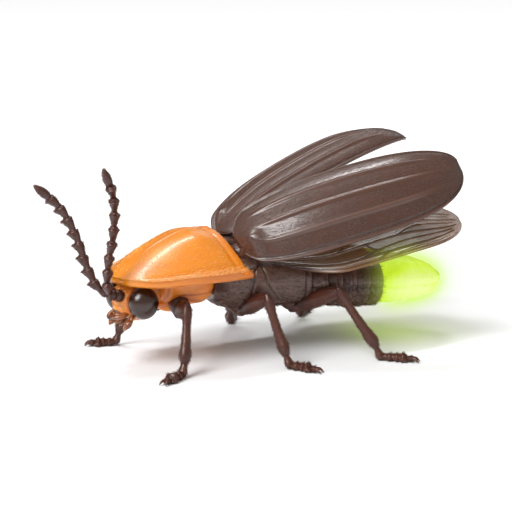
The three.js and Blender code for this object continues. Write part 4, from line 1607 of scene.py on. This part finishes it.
@dataclass
class Abdomen:
    """The abdomen: five dark rings, two lantern rings and the tail, each ring slipping over the next.

    Outline has rows of a share of a ring's length and its size there. It turns back at the ring's rear edge,
    which rolls in.
    """

    front: float = 5.2
    rear: float = 14.0
    half: float = 2.95
    level: float = 3.85
    droop: float = 0.75
    up: float = 1.35
    down: float = 1.8
    dark_rings: int = 5
    lamp_start: float = 9.3
    lamp_rings: int = 2
    tip_start: float = 13.15
    outline: Profile = (
        (-0.12, 0.9), (0.0, 0.925), (0.08, 0.94), (0.2, 0.96), (0.4, 0.98), (0.6, 0.992), (0.78, 1.0),
        (0.9, 1.005), (0.96, 1.008), (0.99, 1.004), (1.0, 0.985), (0.99, 0.965), (0.96, 0.95),
    )
    fold: float = 0.05
    dimple: float = 0.03
    ripple: float = 0.012
    coat: Coat = Coat(count=1500, long=0.22, thick=0.02, lift=0.3)
    seed: int = 71

    def taper(self, y: Array, power: float) -> Array:
        """How much of its full size the abdomen has at y, more blunt at its end for a higher power."""
        t = (y - self.front) / (self.rear - self.front)
        return np.sqrt(np.maximum(0.02, 1 - np.maximum(t, 0) ** power))

    def belly(self, y: Array) -> tuple[Array, Array, Array, Array]:
        """Measures the abdomen.

        Args:
            y: Where it is measured.

        Returns:
            Its level, half width, height and depth at each y.
        """
        t = (y - self.front) / (self.rear - self.front)
        half = self.half * self.taper(y, 3.8) * (0.95 + 0.05 * np.sin(np.pi * np.clip(2 * t, 0, 1)))
        deepening = lerp(0.86, 1.0, smoothstep(t, 0.0, 0.35))
        level = self.level - self.droop * np.maximum(t, 0) ** 1.7
        return level, half, self.up * self.taper(y, 3.2), self.down * self.taper(y, 3.2) * deepening

    def ring(self, start: float, end: float, lobe: float) -> Net:
        """Shapes one ring: it comes out from under the one before, swells, and rolls in at its rear edge.
        Painted shade darkens its dimples and its front.

        Args:
            start: Where it comes out.
            end: Its rear edge.
            lobe: How far its side lobes stand out, as a share of its width.

        Returns:
            Its net, before it is placed.
        """
        rows, sides = 52, 180
        knots = np.array(self.outline)
        fine = np.linspace(0, len(knots) - 1, rows)
        share, size = [np.interp(fine, np.arange(len(knots)), knots[:, k]) for k in (0, 1)]
        y = lerp(start, end, share)
        level, half, up, down = self.belly(y)
        spread = 1 + (lobe - 1) * smoothstep(share, 0.2, 1.0)
        points = section(y, level, half * size * spread, up * size, down * size, 2.25, sides)
        turn = circle(sides)[None]
        slope = np.arctan2(np.sin(turn), np.abs(np.cos(turn)))
        s = share[:, None]
        fold = bell(slope + 0.16, 0.07)
        dimple = bell(np.hypot((s - 0.42) / 0.16, (slope - 0.42) / 0.1), 1.0)
        breath = bell(np.hypot((s - 0.45) * (end - start) / 0.09, (slope + 0.2) / 0.045), 1.0)
        # Painted shade: the dimples, and the front of the ring that lies under the rear edge of the ring
        # before, are darkened.
        tone = -0.75 * fold - 0.5 * dimple - breath
        tone = tone + 0.3 * smoothstep(s, 0.86, 0.99) - 0.35 * (1 - smoothstep(s, 0, 0.2))
        ripple = self.ripple * np.sin(s * 26) * smoothstep(s, 0.3, 0.5) * (1 - smoothstep(s, 0.8, 0.9))
        net = Net(points, ring=True, tone=tone)
        return net.raised(ripple - self.fold * fold - self.dimple * (dimple + breath))

    def rings(self, start: float, end: float, count: int, lobe: float) -> list[Net]:
        """Shapes even rings from start to end."""
        cuts = np.linspace(start, end, count + 1)
        return [self.ring(a, b, lobe) for a, b in zip(cuts[:-1], cuts[1:])]

    def build(self) -> None:
        """Makes the dark rings with their hairs, the lantern and the tail."""
        rings = self.rings(self.front, self.lamp_start, self.dark_rings, 1.03)
        rings = [net.placed(REAR) for net in rings]
        add_piece("abdomen_rings", Shape.of_nets(rings), BELLY_CUTICLE, ["abdomen"])
        hairs = hairs_on([(self.coat, net) for net in rings], self.seed)
        add_piece("abdomen_hairs", hairs, BROWN_HAIR, ["abdomen"])
        lamps = []
        for net in self.rings(self.lamp_start, self.tip_start, self.lamp_rings, 1.01):
            # The ring's darker marks, painted shade among them, dim the glow a little.
            lamps.append(net.toned(self.glow(net) + 0.12 * np.minimum(net.tone, 0)).placed(REAR))
        add_piece("lantern_rings", Shape.of_nets(lamps), LAMP_CELLS, ["lantern"])
        tail = self.tail()
        tail = tail.toned(self.glow(tail) - 0.1).placed(REAR)
        add_piece("tail_plate", tail.skin(), LAMP_CELLS, ["abdomen_tip"])

    def tail(self) -> Net:
        """Shapes the last plate, which is rounded off behind.

        Returns:
            Its net, before it is placed.
        """
        rows, sides = 50, 120
        share = np.sin(np.linspace(0, np.pi / 2, rows))
        y = lerp(self.tip_start - 0.05, self.rear, share)
        level, half, up, down = self.belly(y)
        size = 0.86 * np.sqrt(np.maximum(0.004, 1 - share**6))
        return Net(section(y, level, half * size, up * size, down * size * 0.8 / 0.86, 2.3, sides), ring=True)

    def glow(self, net: Net) -> Array:
        """Says how bright the lantern is: brightest low on its sides, dull on its back. Its own light is real,
        and the fall from a pale middle to a greener rim is painted highlight and painted shade.

        Args:
            net: A part of it, before it is placed.

        Returns:
            The brightness at each point, from 0 to 1.
        """
        _, y, z = np.moveaxis(net.points, -1, 0)
        reach = np.hypot((y - lerp(self.lamp_start, self.rear, 0.45)) / 2.6, (z - 3.0) / 1.5)
        return np.clip(1.0 - 0.5 * reach**1.7, 0.58, 1.0) * (1 - 0.22 * smoothstep(z, 4.2, 5.0))


# Wings


@dataclass
class Wing:
    """A wing of either pair, which is drawn along +Y and then turned into its spread pose about its root.

    Spread is in degrees outward, lift in degrees upward, and roll in degrees that its outer edge tips down.
    The root is given for the left side. End is the share of its length at which the surface stops, just short
    of the point.
    """

    side: Side
    spread: float
    lift: float
    roll: float
    root: Point
    end: float = 0.9985

    def turned(self, points: Array) -> Array:
        """Turns points of the wing into its pose.

        Args:
            points: Points of the wing as it is drawn.

        Returns:
            The points on the body, before they are placed.
        """
        a, b, c = math.radians(self.roll), math.radians(self.lift), math.radians(-self.spread)
        about_y = np.array([[math.cos(a), 0, math.sin(a)], [0, 1, 0], [-math.sin(a), 0, math.cos(a)]])
        about_x = np.array([[1, 0, 0], [0, math.cos(b), -math.sin(b)], [0, math.sin(b), math.cos(b)]])
        about_z = np.array([[math.cos(c), -math.sin(c), 0], [math.sin(c), math.cos(c), 0], [0, 0, 1]])
        return on_side(points @ (about_z @ about_x @ about_y).T + np.array(self.root), self.side)


@dataclass
class WingCase(Wing):
    """One wing case: a thin leaf of cuticle with three fine ribs, a beaded edge, close pits and short hairs.

    It stands on a hinge blade, which runs from a place on the leaf, given along and across, to the shoulder.
    """

    root: Point = (2.05, 0.86, 5.68)
    long: float = 13.1
    half: float = 2.15
    arch: float = 0.45
    crown: float = 1.25
    crown_place: float = -0.35
    start: float = 0.035
    rounding: float = 0.075
    ribs: tuple[float, ...] = (-0.5, 0.02, 0.52)
    rib: float = 0.09
    bead: float = 0.04
    gutter: float = 0.05
    thick: float = 0.16
    edge_round: float = 0.07
    blade_place: tuple[float, float] = (0.09, 0.15)
    blade_drop: float = 0.36
    blade_outline: Profile = ((0, 0.28), (0.13, 0.42), (0.5, 0.46), (1, 0.54))
    shoulder: Point = (1.95, 1.6, 5.05)
    coat: Coat = Coat(count=9000, long=0.2, thick=0.01, lift=0.12, stray=0.18)
    seed: int = 81

    def surface(self, u: Array, w: Array) -> Array:
        """Places the upper face.

        Args:
            u: Shares of the way from root to tip.
            w: Places from the inner edge, -1, to the outer edge, 1.

        Returns:
            The points of the face, as the case is drawn.
        """
        along = lerp(self.start, self.end, u)
        wide = self.half * (1 - np.abs(2 * along - 1) ** 2.7) ** (1 / 2.5)
        short = np.maximum(0, (self.start + self.rounding - along) / self.rounding)
        closing = np.sqrt(np.maximum(0.02, 1 - short**2))
        off_crown = np.abs(w - self.crown_place) / (1 - self.crown_place)
        rise = self.crown * (wide / self.half) ** 1.2 * (1 - off_crown**2.1)
        shoulder = 0.28 * np.exp(-(((along - 0.09) / 0.05) ** 2) - ((w - 0.4) / 0.32) ** 2)
        z = self.arch * (1 - (2 * along - 1) ** 2) + rise + shoulder
        return np.stack([wide * closing * w - 0.55 * (self.half - wide), self.long * along, z], axis=-1)

    def build(self) -> None:
        """Makes the case and its hairs."""
        rows, columns = 216, 130
        s = np.linspace(0, 1, rows)
        us = lerp(0.5 - 0.5 * np.cos(np.pi * s), s, 0.15)
        ws = lerp(across_sheet(columns), np.linspace(-1, 1, columns), 0.35)
        u, w = np.meshgrid(us, ws, indexing="ij")
        fade = smoothstep(u, 0.04, 0.2) * (1 - smoothstep(u, 0.72, 0.93))
        ribs = sum(bell(w - c + 0.02 * np.sin(5 * u + c), 0.05) for c in self.ribs) * fade
        bead = smoothstep(np.abs(w), 0.955, 0.985)
        gutter = bell(np.abs(w) - 0.925, 0.025) * smoothstep(u, 0.03, 0.1)
        # Painted light: the raised ribs and bead are paler, and the sunk gutter is darker.
        tone = 0.25 * ribs - 0.5 * gutter + 0.25 * bead - 0.35 * smoothstep(u, 0.9, 1.0)
        net = Net(self.turned(self.surface(u, w)), tone=tone).placed(REAR)
        ridge = self.rib * ribs + self.bead * bead - self.gutter * gutter
        leaf = net.shell(self.thick, ridge, self.edge_round)
        name = f"elytron_{self.side.word}"
        add_piece(f"{name}_leaf", Shape.joined([leaf, self.blade().skin()]), CASE_CUTICLE, [name])
        hairs = hairs_on([(self.coat, net)], self.seed + self.side.value)
        add_piece(f"{name}_hairs", hairs, CASE_HAIR, [name])

    def blade(self) -> Net:
        """Shapes the hinge blade between the case's root and its shoulder.

        Returns:
            Its net in the frame of the whole animal.
        """
        u, w = np.array(self.blade_place)
        top = self.turned(self.surface(u, w)) - np.array([0, 0, self.blade_drop])
        return limb(top, on_side(self.shoulder, self.side), self.blade_outline, (0, 1, 0), 0.5).placed(REAR)


@dataclass
class HindWing(Wing):
    """One hind wing: a smoky film with a branching net of veins, its end still folded under.

    Each vein has its half width and its places, along and across.
    """

    root: Point = (2.1, 2.6, 4.85)
    long: float = 10.9
    half: float = 2.15
    base: float = 0.5
    thick: float = 0.05
    edge_round: float = 0.02
    vein_rise: float = 0.09
    veins: tuple[tuple[float, Profile], ...] = (
        (0.075, ((0.0, 0.94), (0.2, 0.95), (0.45, 0.94), (0.72, 0.92), (0.9, 0.9), (0.96, 0.86))),
        (0.06, ((0.0, 0.8), (0.2, 0.72), (0.45, 0.66), (0.7, 0.62), (0.86, 0.6), (0.95, 0.58))),
        (0.055, ((0.0, 0.5), (0.2, 0.4), (0.45, 0.3), (0.66, 0.25), (0.84, 0.26), (0.97, 0.3))),
        (0.05, ((0.0, 0.1), (0.25, -0.02), (0.5, -0.1), (0.72, -0.14), (0.88, -0.16), (0.98, -0.16))),
        (0.05, ((0.0, -0.3), (0.25, -0.44), (0.5, -0.5), (0.7, -0.55), (0.86, -0.58), (0.96, -0.6))),
        (0.045, ((0.0, -0.6), (0.2, -0.74), (0.4, -0.84), (0.56, -0.9), (0.68, -0.97))),
        (0.035, ((0.45, 0.66), (0.56, 0.5), (0.66, 0.44), (0.84, 0.42), (0.95, 0.44))),
        (0.035, ((0.53, 0.935), (0.56, 0.8), (0.59, 0.71), (0.62, 0.63))),
        (0.035, ((0.5, 0.28), (0.54, 0.46), (0.56, 0.5))),
        (0.03, ((0.36, 0.34), (0.4, 0.14), (0.42, -0.07))),
        (0.03, ((0.3, -0.03), (0.33, -0.24), (0.36, -0.46))),
        (0.03, ((0.52, -0.1), (0.62, -0.3), (0.8, -0.38), (0.95, -0.4))),
        (0.03, ((0.44, -0.49), (0.5, -0.66), (0.6, -0.78))),
        (0.03, ((0.26, -0.44), (0.3, -0.6), (0.33, -0.8))),
        (0.025, ((0.66, 0.25), (0.74, 0.1), (0.86, 0.05), (0.96, 0.06))),
        (0.025, ((0.62, 0.92), (0.68, 0.8), (0.78, 0.76), (0.93, 0.74))),
    )

    def width(self, along: Array) -> Array:
        """Half the wing's width at a share of its length."""
        widening = lerp(self.base, self.half, smoothstep(along, -0.06, 0.4))
        return widening * (1 - np.maximum(0, (along - 0.4) / 0.6) ** 2.7) ** (1 / 2.2)

    def surface(self, u: Array, w: Array) -> Array:
        """Places the upper face.

        Args:
            u: Shares of the way from root to tip.
            w: Places from the inner edge, -1, to the leading, outer edge, 1.

        Returns:
            The points of the face, as the wing is drawn.
        """
        along = self.end * u
        wide = self.width(along)
        x = wide * w - 0.45 * (self.half - wide) * (1 - along)
        pleat = 0.16 * np.cos(5 * w) * smoothstep(along, 0.1, 0.5) * (1 - smoothstep(along, 0.75, 1))
        fold = -0.35 * smoothstep(along, 0.6, 1) ** 1.5
        return np.stack([x, self.long * along, pleat + fold + 0.25 * np.sin(np.pi * along)], axis=-1)

    def vein_height(self, u: Array, w: Array) -> Array:
        """Finds the veins.

        Args:
            u: Shares of the way from root to tip.
            w: Places across, from -1 to 1.

        Returns:
            How near each point is to the middle of a vein, from 0 to 1.
        """
        here = np.stack([self.width(self.end * u) * w, self.long * u], axis=-1)
        slimmer = lerp(1.0, 0.45, smoothstep(u, 0.55, 0.97))
        best = np.zeros(u.shape)
        for thick, knots in self.veins:
            steps, places = np.array(knots).T
            dense = np.linspace(steps[0], steps[-1], 60)
            spots = np.stack([self.width(dense) * through(steps, places, dense), self.long * dense], axis=-1)
            gap = np.full(u.shape, np.inf)
            for a, b in zip(spots[:-1], spots[1:]):
                run = b - a
                share = np.clip(((here - a) @ run) / (run @ run), 0, 1)
                gap = np.minimum(gap, np.linalg.norm(here - a - share[..., None] * run, axis=-1))
            best = np.maximum(best, bell(gap, thick * slimmer))
        return best

    def build(self) -> None:
        """Makes the wing."""
        u, w = sheet_grid(226, 170)
        vein = self.vein_height(u, w)
        rim = smoothstep(np.abs(w), 0.985, 1.0)
        base = 1 - smoothstep(u, 0.0, 0.12)
        dark = np.clip(smoothstep(vein, 0.25, 0.75) + 0.6 * rim + 0.7 * base, 0, 1)
        net = Net(self.turned(self.surface(u, w)), tone=-dark).placed(REAR)
        rise = self.vein_rise * vein * (1 - smoothstep(u, 0.75, 0.95))
        film = net.shell(self.thick + 0.5 * rise, rise, self.edge_round)
        name = f"hind_wing_{self.side.word}"
        add_piece(f"{name}_film", film, WING_FILM, [name])


# Studio


@dataclass
class Studio:
    """Plain pale floor, soft lights and the camera at the photograph's angle.

    Places and sizes of lights are in metres: each area light has a width and a length, then its power. The
    card's tooth is in bumps to the metre, and the halo's blurs are in pixels.
    """

    azimuth: float = 70.0
    elevation: float = 12.0
    lens: float = 110.0
    sensor: float = 36.0
    pixels: int = 512
    pixels_per_mm: float = 18.6
    aim: Point = (0.0, 0.6, 4.97)
    lit_place: Point = (0.0, 0.0, 0.005)
    card: str = "#F2F5F9"
    tooth: float = 900.0
    walls: str = "#FFF6EC"
    fill: float = 0.55
    dim_side: Point = (-0.92, 0.33, 0.22)
    dim_share: float = 0.3
    sun_place: Point = (0.075, -0.15, 0.165)
    sun_strength: float = 3.0
    sun_spread: float = 34.0
    area_lights: tuple[tuple[str, Point, float, float, float], ...] = (
        ("strip light", (-0.083, -0.02, 0.2), 0.15, 0.022, 0.22),
        ("rim light", (-0.14, 0.09, 0.12), 0.08, 0.08, 0.02),
    )
    halo: float = 3.3
    halo_blurs: tuple[int, int] = (10, 28)
    halo_colour: str = "#D6FF3C"
    halo_on_dark: float = 0.25
    lamp_cover: float = 1.75

    def build(self) -> None:
        """Makes floor, world, lights, camera and halo."""
        self.floor()
        self.world()
        self.lights()
        self.camera()
        self.glow()

    def floor(self) -> None:
        """Makes a wide matt floor, like a sheet of white card with a fine tooth."""
        mesh = bpy.data.meshes.new("floor")
        far = 3.0
        mesh.from_pydata([(-far, -far, 0), (far, -far, 0), (far, far, 0), (-far, far, 0)], [], [(0, 1, 2, 3)])
        card = bpy.data.materials.new("White card, matt")
        card.use_nodes = True
        tree = card.node_tree
        tree.nodes.clear()
        where = add_node(tree, "ShaderNodeTexCoord").outputs["Object"]
        tooth = add_node(tree, "ShaderNodeTexNoise", {"Vector": where, "Scale": self.tooth, "Detail": 4.0})
        bump = add_node(tree, "ShaderNodeBump", {"Height": tooth, "Strength": 0.25, "Distance": 0.02 * MM})
        matt = {"Base Color": linear(self.card), "Roughness": 0.9, "IOR": 1.45, "Specular IOR Level": 0.2}
        shader = add_node(tree, "ShaderNodeBsdfPrincipled", {"Normal": bump, **matt})
        add_node(tree, "ShaderNodeOutputMaterial", {"Surface": shader})
        mesh.materials.append(card)
        floor = bpy.data.objects.new("floor", mesh)
        bpy.context.scene.collection.objects.link(floor)

    def world(self) -> None:
        """Makes a white room, dimmed so that it doesn't wash out the gloss, and most of all on one side."""
        world = bpy.data.worlds.new("bright room")
        bpy.context.scene.world = world
        world.use_nodes = True
        tree = world.node_tree
        tree.nodes.clear()
        seen = add_node(tree, "ShaderNodeLightPath").outputs["Is Camera Ray"]
        way = add_node(tree, "ShaderNodeTexCoord").outputs["Generated"]
        behind = add_node(tree, "ShaderNodeVectorMath", {0: way, 1: self.dim_side}, operation="DOT_PRODUCT")
        dimming = {"Value": behind.outputs["Value"], "From Min": 0.35, "From Max": 0.85}
        dimming |= {"To Min": self.fill, "To Max": self.fill * self.dim_share}
        held = add_node(tree, "ShaderNodeMapRange", dimming, interpolation_type="SMOOTHSTEP")
        power = add_node(tree, "ShaderNodeMapRange", {"Value": seen, "To Min": held, "To Max": 1.0})
        blend = {"Factor": seen, 6: linear(self.walls), 7: linear("#FFFFFF")}
        tint = add_node(tree, "ShaderNodeMix", blend, data_type="RGBA").outputs[2]
        shade = add_node(tree, "ShaderNodeBackground", {"Color": tint, "Strength": power})
        add_node(tree, "ShaderNodeOutputWorld", {"Surface": shade})
        bpy.context.scene.view_settings.view_transform = "Standard"
        bpy.context.scene.view_settings.look = "None"

    def lights(self) -> None:
        """Makes a broad key light at the front left, a long strip for the wing cases' gloss, a rim light."""
        key = self.light("key light", self.sun_place, "SUN", self.sun_strength)
        key.angle = math.radians(self.sun_spread)
        for name, place, wide, long, power in self.area_lights:
            data = self.light(name, place, "AREA", power)
            data.shape = "RECTANGLE"
            data.size = wide
            data.size_y = long

    def light(self, name: str, place: Point, kind: str, power: float) -> bpy.types.Light:
        """Adds a white light that points at the middle of the animal.

        Args:
            name: Its name.
            place: Where it stands, in metres.
            kind: Its type.
            power: Its power, or for a far light its strength.

        Returns:
            The light's data.
        """
        data = bpy.data.lights.new(name, kind)
        data.energy = power
        lamp = bpy.data.objects.new(name, data)
        lamp.location = place
        lamp.rotation_mode = "QUATERNION"
        lamp.rotation_quaternion = (Vector(self.lit_place) - Vector(place)).to_track_quat("-Z", "Y")
        bpy.context.scene.collection.objects.link(lamp)
        return data

    def camera(self) -> None:
        """Makes the camera, which sees the animal from its left and a little above, through a long lens."""
        data = bpy.data.cameras.new("camera")
        data.lens = self.lens
        data.sensor_width = self.sensor
        half_frame = self.pixels / 2 / self.pixels_per_mm * MM
        distance = half_frame / (self.sensor / 2 / self.lens)
        a, e = math.radians(self.azimuth), math.radians(self.elevation)
        back = Vector((math.sin(a) * math.cos(e), -math.cos(a) * math.cos(e), math.sin(e)))
        camera = bpy.data.objects.new("camera", data)
        camera.location = Vector(self.aim) * MM + back * distance
        camera.rotation_mode = "QUATERNION"
        camera.rotation_quaternion = (-back).to_track_quat("-Z", "Y")
        data.clip_start = 0.002
        data.clip_end = 20.0
        bpy.context.scene.collection.objects.link(camera)
        bpy.context.scene.camera = camera

    def glow(self) -> None:
        """Lays a soft yellow-green halo round the lantern, as the eye sees it: its own light, blurred."""
        scene = bpy.context.scene
        bpy.context.view_layer.use_pass_emit = True
        scene.use_nodes = True
        tree = scene.node_tree
        tree.nodes.clear()
        layers = add_node(tree, "CompositorNodeRLayers")
        picture = layers.outputs["Image"]
        light = layers.outputs["Emit"]
        blurred = light
        for size in self.halo_blurs:
            soft = {"filter_type": "GAUSS", "size_x": size, "size_y": size}
            blurred = add_node(tree, "CompositorNodeBlur", {"Image": blurred}, **soft)
        halo = add_node(tree, "CompositorNodeMath", {0: blurred, 1: self.halo}, operation="MULTIPLY")
        lamp = {0: light, 1: self.lamp_cover}
        cover = add_node(tree, "CompositorNodeMath", lamp, operation="MULTIPLY", use_clamp=True)
        outside = add_node(tree, "CompositorNodeMath", {0: 1.0, 1: cover}, operation="SUBTRACT")
        lifted = {0: picture, 1: 1 - self.halo_on_dark, 2: self.halo_on_dark}
        pale = add_node(tree, "CompositorNodeMath", lifted, operation="MULTIPLY_ADD", use_clamp=True)
        spread = add_node(tree, "CompositorNodeMath", {0: halo, 1: outside}, operation="MULTIPLY")
        seen = {0: spread, 1: pale}
        share = add_node(tree, "CompositorNodeMath", seen, operation="MULTIPLY", use_clamp=True)
        white = {0: 1.0, 1: picture, 2: linear("#FFFFFF")}
        no_whiter = add_node(tree, "CompositorNodeMixRGB", white, blend_type="DARKEN")
        tinted = {0: share, 1: no_whiter, 2: linear(self.halo_colour)}
        mixed = add_node(tree, "CompositorNodeMixRGB", tinted)
        add_node(tree, "CompositorNodeComposite", {"Image": mixed})


# The animal's pose

# The middle line of each feeler, from inside the head.
FEELER_LINES: dict[Side, Profile] = {
    Side.LEFT: (
        (0.3, -5.0, 3.8), (0.42, -6.05, 4.1),
        (0.85, -6.4, 5.5), (1.2, -6.25, 7.3), (1.45, -6.35, 9.1), (1.8, -7.1, 10.7),
    ),
    Side.RIGHT: (
        (0.3, -5.0, 3.8), (0.42, -6.05, 4.1),
        (0.8, -6.6, 5.3), (1.15, -7.0, 6.9), (1.5, -7.7, 8.4), (1.9, -8.9, 9.6),
    ),
}
HIPS: dict[Pair, Point] = {
    Pair.FORE: (0.72, -2.05, 3.3),
    Pair.MID: (0.85, 1.45, 2.95),
    Pair.HIND: (0.85, 4.45, 2.85),
}
# Where each leg's thigh starts, its knee, its ankle and its toe.
STANCE: dict[tuple[Pair, Side], tuple[Point, Point, Point, Point]] = {
    (Pair.FORE, Side.LEFT): ((1.0, -2.3, 2.62), (2.75, -2.9, 3.35), (3.6, -3.65, 0.85), (4.2, -5.2, 0.0)),
    (Pair.FORE, Side.RIGHT): ((1.0, -2.3, 2.62), (2.8, -2.6, 3.3), (3.6, -3.0, 0.85), (4.4, -4.4, 0.0)),
    (Pair.MID, Side.LEFT): ((1.35, 1.65, 2.35), (3.75, 2.3, 3.55), (4.75, 2.9, 0.85), (6.1, 4.1, 0.0)),
    (Pair.MID, Side.RIGHT): ((1.35, 1.65, 2.35), (3.7, 2.4, 3.5), (4.7, 3.2, 0.85), (6.35, 3.8, 0.0)),
    (Pair.HIND, Side.LEFT): ((1.35, 4.75, 2.3), (3.85, 6.3, 3.6), (4.85, 7.9, 0.85), (6.0, 9.6, 0.0)),
    (Pair.HIND, Side.RIGHT): ((1.35, 4.7, 2.3), (3.9, 6.0, 3.55), (4.9, 7.5, 0.85), (6.4, 8.6, 0.0)),
}


def main() -> None:
    """Builds the animal from its forebody to its wings, then the studio."""
    logging.basicConfig(level=logging.INFO, format="%(message)s", stream=sys.stdout)
    Shield().build()
    Forebody().build()
    Head().build()
    for side, line in FEELER_LINES.items():
        Feeler(side, line).build()
    Thorax().build()
    Scutellum().build()
    Abdomen().build()
    for (pair, side), places in STANCE.items():
        Leg(pair, side, HIPS[pair], *places).build()
    WingCase(Side.LEFT, spread=11, lift=16, roll=36).build()
    WingCase(Side.RIGHT, spread=9, lift=23, roll=-16).build()
    HindWing(Side.LEFT, spread=12, lift=13, roll=31).build()
    HindWing(Side.RIGHT, spread=12, lift=13, roll=22).build()
    Studio().build()
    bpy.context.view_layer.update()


if __name__ == "__main__":
    main()
